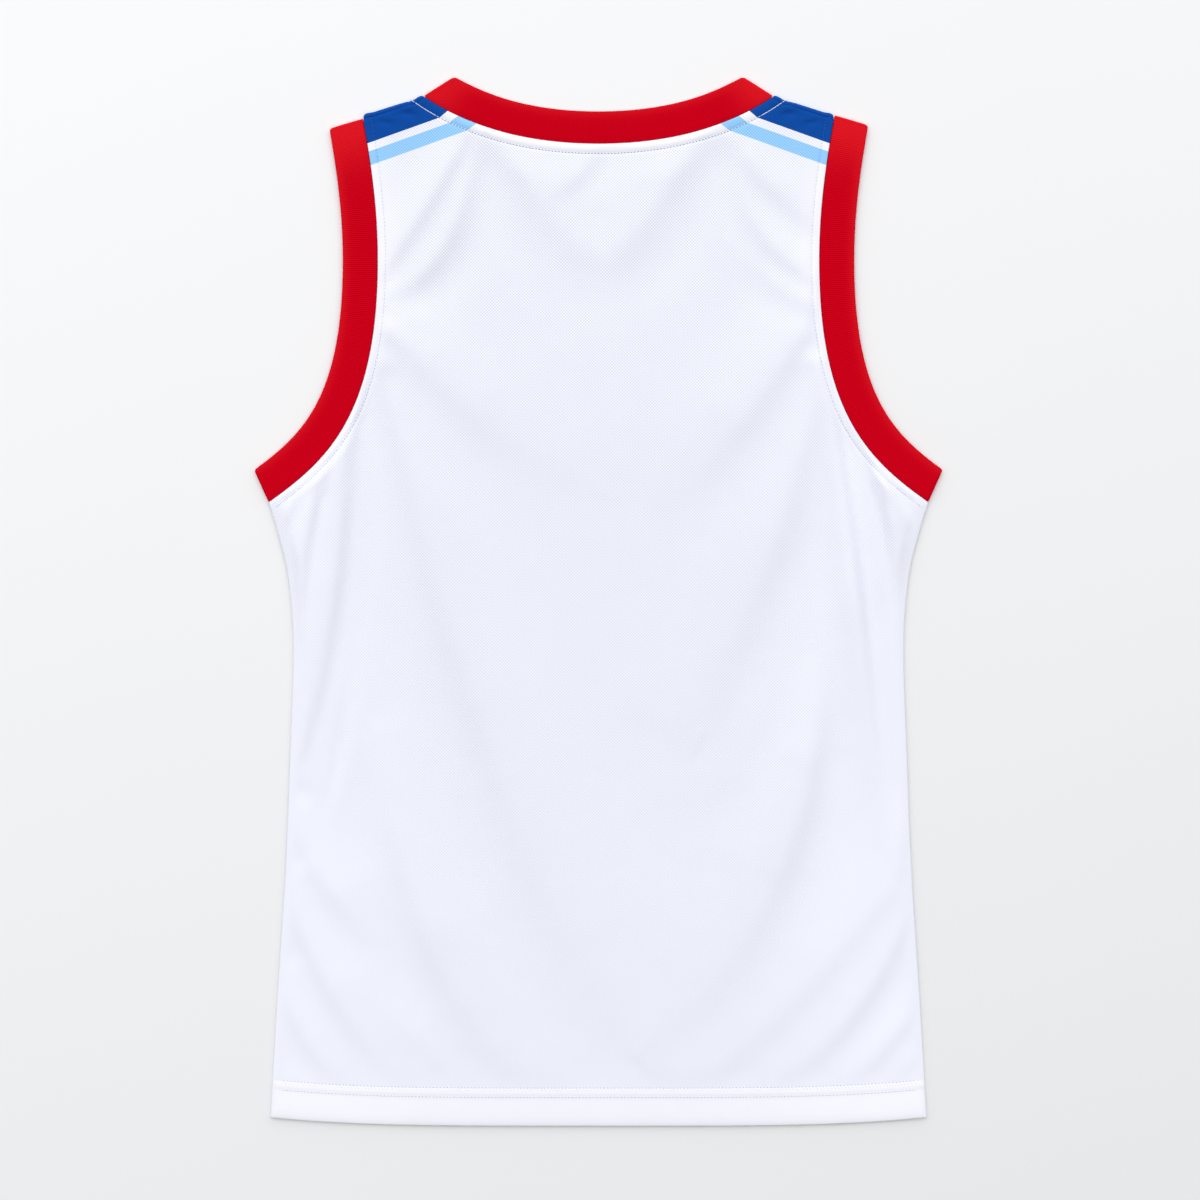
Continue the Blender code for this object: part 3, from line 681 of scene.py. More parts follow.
def back_top(flat, neck_gap, arm_gap, side_gap, shoulder_gap, hem_gap):
    """Height of the back panel's upper face."""
    above = hem_gap - HEM_HEIGHT
    free = fade(np.minimum(neck_gap, arm_gap), *SEAM_FADE)
    for gap, share, way in ((neck_gap, NECK_FOLD, NECK_FADE), (arm_gap, ARM_FOLD, ARM_FADE)):
        free = np.minimum(free, share + (1 - share) * fade(gap, *way))
    free *= fade(side_gap, *SIDE_FADE) * fade(shoulder_gap, *SHOULDER_FADE)
    free *= np.where(above < 0, HEM_FOLD * soft_step(hem_gap / HEM_HEIGHT * 1.2),
                     HEM_FOLD + (1 - HEM_FOLD) * fade(above, *HEM_FADE))
    level = HEM_LEVEL + (TOP_LEVEL - HEM_LEVEL) * soft_step(above / ABOVE_HEM)
    level += HEM_PLUMP[0] * soft_step(-above / HEM_PLUMP[1])
    folds = fold_heights(flat, FOLDS) + fold_heights(flat, CREASES, True)
    height = np.maximum(level + (folds + ripple(flat)) * free, LOWEST) - sag(flat)
    height += band_lift(neck_gap, NECK_BAND, NECK_GROOVE)
    height += band_lift(arm_gap, ARM_BAND, ARM_GROOVE) * soft_step(side_gap / BAND_FLAT)
    height += fold_heights(flat, WRINKLES, True) + fold_heights(flat * (-1, 1), WRINKLES, True)
    crest, place, reach = SHOULDER_CREST
    height += crest * (bell((shoulder_gap - place) / reach) - bell(shoulder_gap / SHOULDER_DIP))
    height += HEM_PUFF * np.sin(np.pi * np.clip(above / HEM_ROWS[1] + 1, 0, 1))
    height = SIDE_LEVEL + (height - SIDE_LEVEL) * rounded(side_gap / SIDE_REACH)
    return EDGE_LEVEL + (height - EDGE_LEVEL) * (1 - (1 - np.clip(hem_gap / HEM_REACH, 0, 1)) ** 2)


def make_back(grid, height, material):
    """The upper layer, whose cloth is thicker and whiter where it lies doubled and beside the armholes,
    where part of the whiteness is painted light.
    """
    flat, neck_gap, arm_gap, side_gap, shoulder_gap, hem_gap = grid
    up = flat[..., 1]
    # Beside the armholes the whiter, thicker cloth is partly painted light: a highlight line beyond the
    # band, whiteness that grows with height, and a glow above the chest.
    beside_arm = np.maximum(soft_step((ARM_BAND - arm_gap) / BAND_EDGE),
                            bell((arm_gap - ARM_BAND - ARM_HIGHLIGHT_LINE[0]) / ARM_HIGHLIGHT_LINE[1]))
    glow, glow_reach, glow_up, glow_fade = ARM_PAINTED_GLOW
    double = np.maximum.reduce((
        soft_step((HEM_HEIGHT - hem_gap) / HEM_EDGE), soft_step((NECK_BAND - neck_gap) / BAND_EDGE),
        soft_step((SHOULDER_BAND - shoulder_gap) / BAND_EDGE), beside_arm * np.interp(up, *ARM_PAINTED_LIGHT),
        glow * bell(arm_gap / glow_reach) * soft_step((up - glow_up) / glow_fade)))
    double *= soft_step(side_gap / SIDE_EDGE)
    thick = CLOTH + (DOUBLED - CLOTH) * double
    middle = height - thick / 2
    half = half_wall(np.minimum.reduce(grid[1:]), thick)
    return wall("back_panel_cloth", flat, middle + half, middle - half, material,
                stripe=stripe_place(flat, neck_gap), double=double)


def make_front(material):
    """The lower layer. Its outer face is down, flat where it rests, with shallow creases in it."""
    side = SIDE_LINE.copy()
    side[0] += (0, FRONT_HEM_IN)
    side[-1] = ARMPIT_START
    right = np.vstack((side[:-1], FRONT_ARM_LINE[::-1]))
    end = FRONT_ARM_LINE[0]
    shoulder = np.array(((COLLAR_START + end) / 2, end))
    high = np.vstack((other_side(shoulder), SCOOP_LINE, shoulder))
    flat = panel_grid(hem_edge(120) + (0, FRONT_HEM_IN), right, high, len(side) - 1,
                      len(high) - len(shoulder) - 1, FRONT_CUTS)
    neck_gap, arm_gap, side_gap, shoulder_gap = (
        gap_from(line, flat) for line in (SCOOP_LINE, FRONT_ARM_LINE, side, np.vstack((COLLAR_START, end))))
    hem_gap = flat[..., 1] - hem_up(flat[..., 0]) - FRONT_HEM_IN
    seam_gap = np.minimum(neck_gap, arm_gap)
    free = (fade(seam_gap, *FRONT_SEAM_FADE) * fade(side_gap, *FRONT_SIDE_FADE)
            * fade(hem_gap - HEM_HEIGHT, *FRONT_HEM_FADE))
    mirrored = [([(-x, up) for x, up in path][::-1], widths, heights) for path, widths, heights in FOLDS]
    share, highest = FRONT_FOLDS
    under = np.clip(fold_heights(flat, mirrored) * share, 0, highest) * free
    under += FRONT_SIDE_LIFT * (1 - rounded(side_gap / SIDE_FADE[1])) * (arm_gap > 3)
    double = np.maximum(soft_step((HEM_HEIGHT - hem_gap) / (2 * HEM_EDGE)),
                        soft_step((FRONT_BAND - seam_gap) / BAND_EDGE))
    double *= soft_step(side_gap / SIDE_EDGE)
    thick = CLOTH + (DOUBLED - CLOTH) * double
    grooves = bell((neck_gap - NECK_BAND) / GROOVE[1]) + bell((arm_gap - ARM_BAND) / GROOVE[1])
    for row in HEM_ROWS:
        grooves += bell((hem_gap - HEM_HEIGHT + row) / HEM_GROOVE)
    middle = under + thick / 2
    half = half_wall(np.minimum.reduce((seam_gap, side_gap, shoulder_gap, hem_gap)), thick)
    return wall("front_panel_cloth", flat, middle + half, middle - half + FRONT_GROOVE * grooves, material,
                stripe=stripe_place(flat, neck_gap), double=double)


def make_lip(name, side, material):
    """The front panel's edge, rolled over the shoulder onto the back: a bar with closed ends."""
    line, outward = lip_line()
    run = run_of(line)
    ends = np.maximum(rounded(np.minimum(run, run[-1] - run) / LIP_ENDS[0]), LIP_ENDS[1])
    radius = LIP_RADIUS
    turn = np.radians(np.linspace(*LIP_TURN, 19))
    arc = radius * np.stack((np.cos(turn), np.sin(turn)), -1)
    section = np.vstack(((LIP_FOOT, -radius), arc, np.array(LIP_TUCK) + (0, radius),
                         arc[::-1] * (1 - CLOTH / radius), (LIP_FOOT, -radius + CLOTH)))
    rows, columns = len(line), len(section)
    flat = line[:, None] + outward * (section[:, :1] - radius)
    lift = LIP_LIFT + radius + section[:, 1] * ends[:, None]
    points = np.concatenate((flat * (side, 1), lift[..., None]), -1).reshape(-1, 3)
    half = columns // 2
    ahead = np.arange(half)
    back = columns - 1 - ahead
    cap = np.stack((ahead[:-1], ahead[1:], back[1:], back[:-1]), -1)
    faces = np.vstack((grid_faces(rows, columns, closed_columns=True), cap[:, ::-1],
                       cap + (rows - 1) * columns))
    return mesh_object(name, points, faces[:, ::side], material, stripe=stripe_place(flat),
                       double=np.ones((rows, columns)))


# Ribs -----------------------------------------------------

def rib_section(width, along, level):
    """Reach and lift of the points round a rib's section, from its seam over the top and back below.

    level is 1 where the strip lies level and 0 where it stands upright in its turn.
    """
    share = np.array(RIB_PLACES)
    reach = width[:, None] * share
    fold = rounded((width[:, None] - reach) / RIB_EDGE)
    thinner, seam_reach, power = RIB_SEAM
    seam = 1 - thinner * (1 - soft_step(reach / seam_reach) ** power) * level[:, None]
    crown = 1 - RIB_CROWN + RIB_CROWN * np.sin(np.pi * share)
    wave = RIB_DEPTH * np.cos(2 * np.pi * along[:, None] / RIB_PITCH)
    over = ((RIB_WALL / 2 - RIB_DEPTH) * crown + wave) * fold * seam
    return np.hstack((reach, reach[:, -2:0:-1])), np.hstack((over, -over[:, -2:0:-1] * RIB_UNDER))


def half_ring(line, low, high, folds, widths, side):
    """Places, directions across and widths of a rib along a seam line, between two of its shares."""
    fine = np.linspace(low, high, 600)
    run = run_of(line(fine)[0])
    count = max(2, int(round(run[-1] / RIB_STEP)))
    point, direction = line(np.interp(np.linspace(0, run[-1], count + 1), run, fine))
    square = turned(direction, side * math.pi / 2)
    along = np.linspace(0, 1, count + 1)
    slant = np.zeros(count + 1)
    for k, fold, from_fold in ((0, folds[0], along), (-1, folds[1], 1 - along)):
        angle = math.atan2(square[k][0] * fold[1] - square[k][1] * fold[0], square[k] @ fold)
        slant += np.clip(1 - from_fold / SLANT_REACH, 0, 1) ** 2 * angle
    width = widths[0] + (widths[1] - widths[0]) * (2 * along - 1) ** 2
    return point + square * SEAM_GAP, turned(square, slant), width / np.cos(slant)


def rib_ring(name, upper, lower, hand, material, highlight, round_last):
    """A rib as a closed strip: its upper half, its last fold, its lower half back, and its first fold.

    highlight says how far a painted highlight reaches from its folds, and how much at the first and at the
    last.
    round_last says how round its outer corner is at the last fold, next to the first.
    """
    radius = (RIB_WALL + SEAM_GAP) / 2
    axis_z = RIB_WALL + SEAM_GAP / 2
    turns = int(round(math.pi * radius / RIB_STEP))
    turn = np.linspace(math.pi / 2, -math.pi / 2, turns + 1)[1:-1]
    for above, below in zip(upper, lower):
        below[0], below[-1] = above[0], above[-1]

    def ringed(above, below):
        return np.concatenate((above, np.repeat(above[-1:], len(turn), 0), below[::-1],
                               np.repeat(above[:1], len(turn), 0)))

    point, across, width = (ringed(*both) for both in zip(upper, lower))
    upper_count, lower_count = len(upper[0]), len(lower[0])
    angle = np.concatenate((np.full(upper_count, math.pi / 2), turn,
                            np.full(lower_count, -math.pi / 2), -turn))
    way = np.repeat((1, -1), (upper_count + len(turn), lower_count + len(turn)))
    outward = turned(across, -math.pi / 2 * hand) * way[:, None]
    middle = point + across * (width / 2)[:, None] + outward * (radius * np.cos(angle))[:, None]
    track = np.concatenate((middle, (axis_z + radius * np.sin(angle))[:, None]), 1)
    run = run_of(np.vstack((track, track[:1])))
    along = run[:-1] * (round(run[-1] / RIB_PITCH) * RIB_PITCH / run[-1])

    # its free edge runs straight on through a fold, so the strip is longer or shorter there
    edge = upper[0] + upper[1] * upper[2][:, None]
    shift = []
    for k, inner, sign in ((0, 1, -1), (-1, -2, 1)):
        edge_way = edge[k] - edge[inner]
        out = turned(upper[1][k], -math.pi / 2 * hand) * sign
        shift.append(np.clip((edge_way @ upper[1][k]) / (edge_way @ out), -RIB_SHIFT, RIB_SHIFT) * radius)
    after = bell(np.arange(lower_count) * RIB_STEP / RIB_TURN_FADE) * math.pi
    width = width + np.concatenate((
        np.zeros(upper_count), shift[1] * (math.pi / 2 - turn),
        after * shift[1] + after[::-1] * shift[0], shift[0] * (math.pi / 2 - turn[::-1])))
    level = np.abs(np.sin(angle))
    at_last = np.abs(np.arange(len(angle)) - upper_count) < upper_count / 2
    width -= (radius + RIB_WALL / 2) * (1 - level) * np.where(at_last, round_last, 1.0)

    reach, lift = rib_section(width, along, level)
    arm = radius + lift
    flat = (point[:, None] + across[:, None] * reach[..., None]
            + outward[:, None] * (arm * np.cos(angle)[:, None])[..., None])
    z = axis_z + arm * np.sin(angle)[:, None]
    z -= soft_step((z - axis_z) / radius) * sag(flat)
    points = np.concatenate((flat, z[..., None]), -1).reshape(-1, 3)
    faces = grid_faces(*reach.shape, closed_rows=True, closed_columns=True)[:, ::-hand]
    from_first = np.minimum(run[:-1], run[-1] - run[:-1])
    from_last = np.abs(run[:-1] - run[upper_count])
    # painted highlight: the rib is painted lighter near its folds and along its folded edge
    faded = np.maximum(highlight[1] * bell(from_first / highlight[0]), highlight[2] * bell(from_last / highlight[0]))[:, None]
    at_edge = RIB_EDGE_HIGHLIGHT[0] * bell((width[:, None] - reach) / RIB_EDGE_HIGHLIGHT[1])
    return mesh_object(name, points, faces, material, wale=np.repeat(along, reach.shape[1]), course=reach,
                       faded=faded + (1 - faded) * at_edge)


def both_sides(line):
    """A line from the centre line to the right made into one from left to right, on -1 to 1."""
    def whole(s):
        point, direction = line(np.abs(s))
        left = (np.asarray(s) < 0)[:, None]
        return np.where(left, point * (-1, 1), point), np.where(left, direction * (1, -1), direction)
    return whole


def on_side(line, side):
    """A line of the right half on a side."""
    def mirrored(s):
        point, direction = line(s)
        return point * (side, 1), direction * (side, 1)
    return mirrored


def make_neck_rib(material):
    """The neck's rib, which turns over at the collar's two tips."""
    folds, widths = (COLLAR_WAY * (-1, 1), COLLAR_WAY), (NECK_RIB, NECK_RIB_END)
    upper = half_ring(both_sides(back_neck), -COLLAR_S, COLLAR_S, folds, widths, 1)
    lower = half_ring(both_sides(front_neck), -1, 1, folds, widths, 1)
    return rib_ring("neck_rib_knit", upper, lower, 1, material, NECK_RIB_HIGHLIGHT, 1.0)


def make_arm_rib(name, side, material):
    """An armhole's rib, which turns over at the shoulder and at the underarm."""
    share, _, way, _ = SHOULDERS[side]
    folds, widths = (way * (side, 1), ARMPIT_WAY * (side, 1)), (ARM_RIB, ARM_RIB)
    upper = half_ring(on_side(back_armhole, side), share, ARMPIT_S, folds, widths, side)
    lower = half_ring(on_side(front_armhole(side), side), 0, 1, folds, widths, side)
    return rib_ring(name, upper, lower, side, material, ARM_RIB_HIGHLIGHT, ARM_CORNER)


# Stitches -------------------------------------------------

# Length of a stitch or of a needle hole's painted shade, radius of its thread, and rise of its middle
YOKE_THREAD = (2.9, 0.3, 0.14)
NECK_THREAD = (1.9, 0.24, 0.05)
NECK_HOLE_SHADE = (0.8, 0.36, 0.08)
ARM_THREAD = (1.9, 0.22, 0.08)
ARM_HOLE_SHADE = (0.6, 0.18, 0.03)
HEM_SLANTED = (2.4, 0.22, 0.12)
HEM_THREAD = (1.9, 0.2, 0.05)
HEM_HOLE_SHADE = (0.7, 0.2, 0.04)
HEM_THREAD_HOLE_SHADE = (0.8, 0.16, 0.04)
UNDER_ARM_THREAD = (1.8, 0.2, 0.05)
UNDER_HEM_THREAD = (1.95, 0.2, 0.05)
UNDER_LEVEL = 0.3       # height of the front's underside at its stitches
SLANT = math.radians(-52)
STITCH_DIP = 2.2        # how far a stitch's ends lie below its middle, in rises
HOLE_SHADE_ABOVE = 0.5       # how far the painted shade of the hem's needle holes lies above its doubled cloth
OVER_LIP = 1.2          # how far beyond the roll's round part the neck's topstitch stays on its height


def stitch_row(line, heights, size, slant=0.0, facing=1, shift=0.5, pitch=STITCH):
    """Points and faces of thread stitches along a line, each an arch that dips in at both ends.

    slant turns them off the line's direction, and shift says where in its pitch a stitch is.
    """
    length, radius, rise = size
    run = run_of(line)
    count = int(run[-1] // pitch)
    starts = (np.arange(count) + shift) * run[-1] / count
    starts = starts[(starts > length / 2) & (starts < run[-1] - length / 2)]
    count = len(starts)
    steps, sides = 7, 6
    share = np.linspace(-1, 1, steps)
    at = starts[:, None] + share * length / 2
    centre = at_run(line, at)
    middle = centre[:, steps // 2:steps // 2 + 1]
    centre = middle + turned(centre - middle, slant)
    way = np.gradient(centre, axis=1)
    square = turned(way / np.linalg.norm(way, axis=-1, keepdims=True), math.pi / 2)
    z = np.interp(at, run, heights) + facing * rise * (1 - STITCH_DIP * share**4)
    thick = radius * np.sqrt(np.clip(1.08 - share**4, 0, 1))[:, None]
    ring = np.arange(sides) * 2 * math.pi / sides
    points = np.empty((count, steps, sides, 3))
    points[..., :2] = centre[:, :, None] + square[:, :, None] * (thick * np.cos(ring))[..., None]
    points[..., 2] = z[:, :, None] + thick * np.sin(ring)
    end = np.array(((3, 2, 1, 0), (5, 4, 3, 0)))
    one = np.vstack((grid_faces(steps, sides, closed_columns=True), end, end[:, ::-1] + (steps - 1) * sides))
    faces = (one + (np.arange(count) * steps * sides)[:, None, None]).reshape(-1, 4)
    return points.reshape(-1, 3), faces


def offset_line(line, gap, trim=0.0):
    """The line moved to its right-hand side, and shortened at both ends."""
    way = np.gradient(line, axis=0)
    moved = line + turned(way / np.linalg.norm(way, axis=1, keepdims=True), -math.pi / 2) * gap
    return at_run(moved, np.linspace(trim, run_of(moved)[-1] - trim, 260))


def height_on(flat, heights, line):
    """Height of a grid's surface along a line, from the grid's points close to it."""
    points = flat.reshape(-1, 2)
    found = []
    for place in line:
        gap = np.sum((points - place) ** 2, axis=1)
        near = np.argpartition(gap, 5)[:5]
        found.append(np.average(heights.ravel()[near], weights=1 / (gap[near] + 0.01)))
    return np.array(found)


def joined(name, rows, material, place=None):
    """One object of several rows of stitches, with the stripes' place where it is printed."""
    points = np.vstack([row[0] for row in rows])
    starts = np.cumsum([0] + [len(row[0]) for row in rows])
    faces = np.vstack([row[1] + start for row, start in zip(rows, starts)])
    values = {"stripe": place(points[:, :2])} if place else {}
    return mesh_object(name, points, faces, material, **values)


def neck_stitch_line():
    """The neck's topstitch from the left shoulder's edge to the right one's."""
    half = offset_line(NECK_LINE[len(NECK_LINE) // 2:], NECK_BAND)
    way = half[-1] - half[-2]
    half = np.vstack((half, half[-1] + way / np.linalg.norm(way) * NECK_STITCH_ON))
    return np.vstack((other_side(half)[:-1], half))


def make_stitches(flat, top, thread, printed, hole_shade):
    """The rows that show on the back panel with the painted shade of their needle holes, and the same rows
    on the front panel's underside.
    """
    def on_back(line, size, **how):
        return stitch_row(line, height_on(flat, top, line), size, **how)

    def under(line, size):
        return stitch_row(line, np.full(len(line), UNDER_LEVEL), size, facing=-1)

    neck = neck_stitch_line()
    edge_gap = gap_from(lip_line()[0], neck)
    over_lip = LIP_LIFT + LIP_RADIUS + half_wall(edge_gap, 2 * LIP_RADIUS)
    level = height_on(flat, top, neck)
    level = np.where(edge_gap < LIP_RADIUS + OVER_LIP, np.maximum(level, over_lip), level)

    def neck_row(part, size, shift=0.5):
        return stitch_row(neck[part], level[part], size, shift=shift, pitch=NECK_STITCH)

    x = neck[:, 0]
    white = np.abs(x) < WHITE_TO
    rows = [neck_row(white, NECK_THREAD), neck_row(x < -YOKE_FROM, YOKE_THREAD),
            neck_row(x > YOKE_FROM, YOKE_THREAD)]
    made = [joined("neck_topstitch", rows, thread),
            joined("neck_painted_hole_shade", [neck_row(white, NECK_HOLE_SHADE, 0.0)], hole_shade)]
    for name, side in (("left", -1), ("right", 1)):
        arm = offset_line(ARM_LINE, ARM_BAND, 2.0) * (side, 1)
        low = arm[arm[:, 1] < ARM_HOLE_SHADE_BELOW]
        made.append(joined("armhole_topstitch_" + name, [on_back(arm, ARM_THREAD)], printed, stripe_place))
        made.append(joined("armhole_painted_hole_shade_" + name, [on_back(low, ARM_HOLE_SHADE, shift=0.0)], hole_shade))
    hem = hem_edge(200)[3:-3]
    upper, lower = (hem + (0, HEM_HEIGHT - row) for row in HEM_ROWS)
    made.append(joined("hem_stitches_back", [on_back(upper, HEM_SLANTED, slant=SLANT),
                                             on_back(lower, HEM_THREAD)], thread))
    above = hem + (0, HEM_HEIGHT + HOLE_SHADE_ABOVE)
    made.append(joined("hem_painted_hole_shade", [on_back(above, HEM_HOLE_SHADE, shift=0.1),
                                            on_back(lower, HEM_THREAD_HOLE_SHADE, shift=0.0)], hole_shade))
    rows = [under(offset_line(SCOOP_LINE, NECK_BAND, 3), HEM_THREAD)]
    rows += [under(offset_line(FRONT_ARM_LINE, ARM_BAND, 5) * (side, 1), UNDER_ARM_THREAD)
             for side in (-1, 1)]
    rows += [under(hem * (0.99, 1) + (0, FRONT_HEM_IN + HEM_HEIGHT - row), UNDER_HEM_THREAD)
             for row in HEM_ROWS]
    made.append(joined("front_stitches", rows, thread))
    return made


# Materials ------------------------------------------------

WHITE = (0.825, 0.84, 0.925)
DOUBLE_WHITE = (0.888, 0.885, 0.942)    # where the cloth lies doubled and less shows through it; beside the armholes it also carries painted light
ROYAL = (0.006, 0.070, 0.345)
SKY = (0.298, 0.59, 0.94)
RED = (0.575, 0.0008, 0.0100)
HIGHLIGHT_RED = (0.73, 0.0095, 0.0175)       # painted highlight where a rib turns over and along its folded edge
THREAD = (0.86, 0.87, 0.93)
# painted shade inside a needle hole
HOLE_SHADE = (0.25, 0.29, 0.50)
FLOOR = (0.86, 0.86, 0.862)
STRIPE_EDGE = 0.22      # width over which one stripe's yarn gives way to the next
MESH_PITCH = 2.26       # from one eyelet of the micro-mesh to the next, along a row
MESH_BEND = 5.0         # how far its rows wander
EYELET_SHADE = -0.115      # painted shade: how much darker an eyelet of the mesh is painted
MESH_STRENGTH = (1.12, 1 / 480)     # how strong the mesh is at the frame's origin, and each mm up
MESH_SIDE = 0.78        # its strength at the sides
KNIT_TONE, KNIT_UNEVEN = 0.967, 0.03
PAINTED_LIGHT_ABOVE = 0.026      # painted light: how much lighter the knit is painted towards the collar
PAINTED_LIGHT_ACROSS = (-0.006, 0.024)       # painted light and shade: the same in the middle, a little darker, and at the sides, lighter
MESH_FADE = 0.25        # how strong the mesh looks in doubled cloth
LOOP_PITCH = 1.1        # from one loop of a rib's knit to the next
RIB_TONE_AND_SHADE = (0.94, 0.1, 0.03, 0.12)  # a rib's tone, and what its crests, loops and fuzz add; the crests' part is painted shade, darker in the grooves between ribs
TWIST = 9.0             # a thread's twist, in radians for each mm
BUMP = 0.06 * MM        # height of a knit's bump
TWIST_BUMP = 0.05 * MM


class Nodes:
    """Short ways to lay out the nodes of a material or of the world."""

    def __init__(self, tree):
        self.tree = tree

    def link(self, value, socket):
        """Gives a socket a number, a vector or a colour, or joins it to a node's output."""
        if isinstance(value, (int, float)):
            socket.default_value = value
        elif isinstance(value, tuple):
            socket.default_value = value + (1,) if len(value) == 3 and socket.type == "RGBA" else value
        else:
            self.tree.links.new(value, socket)

    def node(self, kind, *values, **settings):
        """A node with these settings and with these values or links in its first inputs."""
        made = self.tree.nodes.new("ShaderNode" + kind)
        for key, setting in settings.items():
            setattr(made, key, setting)
        for value, socket in zip(values, made.inputs):
            self.link(value, socket)
        return made

    def named(self, kind, inputs, **settings):
        """The same with the inputs given by name."""
        made = self.node(kind, **settings)
        for key, value in inputs.items():
            self.link(value, made.inputs[key])
        return made

    def math(self, operation, *values):
        return self.node("Math", *values, operation=operation).outputs[0]

    def times(self, a, b):
        return self.math("MULTIPLY", a, b)

    def total(self, start, *weighted):
        """The start and each value times its weight."""
        for value, weight in weighted:
            start = self.math("MULTIPLY_ADD", value, weight, start)
        return start

    def value(self, name):
        """A value that the mesh has at each point."""
        return self.node("Attribute", attribute_name=name).outputs["Fac"]

    def place(self):
        """Object coordinates in mm."""
        coordinate = self.node("TexCoord").outputs["Object"]
        vector = self.scaled(coordinate, 1 / MM)
        parts = self.node("SeparateXYZ", vector)
        return vector, parts.outputs[0], parts.outputs[1]

    def scaled(self, vector, factor):
        """A vector or a colour times a number."""
        return self.named("VectorMath", {0: vector, "Scale": factor}, operation="SCALE").outputs[0]

    def noise(self, vector, scale, detail):
        return self.named("TexNoise", {"Vector": vector, "Scale": scale, "Detail": detail}).outputs["Fac"]

    def smooth(self, value, low, high, to_low=0.0, to_high=1.0):
        return self.named("MapRange", {"Value": value, "From Min": low, "From Max": high, "To Min": to_low,
                                       "To Max": to_high}, interpolation_type="SMOOTHSTEP").outputs[0]

    def mix(self, share, a, b):
        return self.named("Mix", {"Factor": share, "A": a, "B": b}, data_type="RGBA").outputs["Result"]


class Material(Nodes):
    """A material without gloss, whose base colour and bump come from nodes."""

    def __init__(self, name, roughness):
        self.material = bpy.data.materials.new(name)
        self.material.use_nodes = True
        super().__init__(self.material.node_tree)
        self.shader = self.tree.nodes["Principled BSDF"]
        self.shader.inputs["Roughness"].default_value = roughness
        self.shader.inputs["Specular IOR Level"].default_value = 0.0

    def finish(self, colour, tone, height=None, distance=BUMP, strength=0.5):
        """The material with a colour times a tone, and a bump of this height if there is one."""
        self.link(self.scaled(colour, tone), self.shader.inputs["Base Color"])
        if height is not None:
            bump = self.named("Bump", {"Strength": strength, "Distance": distance, "Height": height})
            self.link(bump.outputs["Normal"], self.shader.inputs["Normal"])
        return self.material


def stripes(m, white):
    """The print's colour at each place, over the given white."""
    place = m.value("stripe")
    edge = STRIPE_EDGE / 2
    royal = m.smooth(place, -edge, edge)
    sky = m.times(m.smooth(place, -YOKE_GAP + edge, -YOKE_GAP - edge),
                  m.smooth(place, -YOKE_GAP - SKY_STRIPE - edge, -YOKE_GAP - SKY_STRIPE + edge))
    return m.mix(royal, m.mix(sky, white, SKY), ROYAL)


def knit_material():
    """White micro-mesh with the shoulder's stripes; whiter where it lies doubled, with painted light beside
    the armholes, towards the collar and at the sides, and painted shade in its eyelets.
    """
    m = Material("white_micro_mesh", 0.62)
    vector, x, y = m.place()
    across = m.math("ABSOLUTE", x)
    double = m.value("double")
    bend = m.times(m.math("SUBTRACT", m.noise(vector, 0.02, 2), 0.5), MESH_BEND)
    one, two = (m.math("COSINE", m.times(m.math("ADD", way, bend), 2 * math.pi / MESH_PITCH))
                for way in (x, y))
    uneven = m.noise(vector, 0.05, 3)
    fuzz = m.noise(vector, 1.6, 2)
    # the mesh shows more towards the collar, and less at the sides and in doubled cloth
    strength = m.times(m.total(MESH_STRENGTH[0], (y, MESH_STRENGTH[1])),
                       m.smooth(across, 110, 190, 1.0, MESH_SIDE))
    strength = m.times(strength, m.smooth(double, 0, 1, 1.0, MESH_FADE))
    weave = m.times(m.times(one, two), strength)
    # painted shade in the mesh's eyelets
    tone = m.total(KNIT_TONE, (weave, EYELET_SHADE), (uneven, KNIT_UNEVEN), (fuzz, KNIT_UNEVEN))
    # painted light: lighter towards the collar and at the sides, slightly darker in the middle
    tone = m.math("ADD", tone, m.smooth(y, 20, 300, 0.0, PAINTED_LIGHT_ABOVE))
    tone = m.math("ADD", tone, m.smooth(across, 90, 210, *PAINTED_LIGHT_ACROSS))
    height = m.math("SUBTRACT", m.times(fuzz, 0.25), weave)
    return m.finish(stripes(m, m.mix(double, WHITE, DOUBLE_WHITE)), tone, height)


def rib_material():
    """Red rib: rows of loops along the strip's ribs, with painted shade in the grooves between them and a
    painted highlight near its folds and along its folded edge.
    """
    m = Material("red_rib", 0.8)
    vector, _, _ = m.place()
    wave = m.math("COSINE", m.times(m.value("wale"), 2 * math.pi / RIB_PITCH))
    bent = m.times(m.math("ABSOLUTE", wave), 1.5)
    loops = m.math("SINE", m.total(bent, (m.value("course"), 2 * math.pi / LOOP_PITCH)))
    fuzz = m.noise(vector, 1.3, 3)
    # painted shade: lighter on the ribs' crests, darker in their grooves
    tone = m.total(RIB_TONE_AND_SHADE[0], *zip((wave, loops, fuzz), RIB_TONE_AND_SHADE[1:]))
    height = m.total(m.math("ADD", wave, fuzz), (loops, 0.4))
    return m.finish(m.mix(m.value("faded"), RED, HIGHLIGHT_RED), tone, height, strength=0.6)


def thread_material(name, printed):
    """White sewing thread with its twist, or the same with the print's stripes over it, mixed a little
    towards sky blue as painted sheen.
    """
    m = Material(name, 0.6)
    _, x, y = m.place()
    twist = m.math("SINE", m.times(m.total(x, (y, 0.6)), TWIST))
    # painted sheen: the printed thread is mixed a little towards sky blue, so it is lighter than the royal
    # print
    colour = m.mix(0.15, stripes(m, THREAD), SKY) if printed else THREAD
    return m.finish(colour, m.total(0.96, (twist, 0.04)), twist, TWIST_BUMP)


def hole_shade_material():
    """The shaded cloth where a needle has gone in."""
    m = Material("painted_hole_shade", 0.9)
    return m.finish(HOLE_SHADE, m.total(0.9, (m.noise(m.place()[0], 0.8, 1), 0.2)))


# Scene ----------------------------------------------------

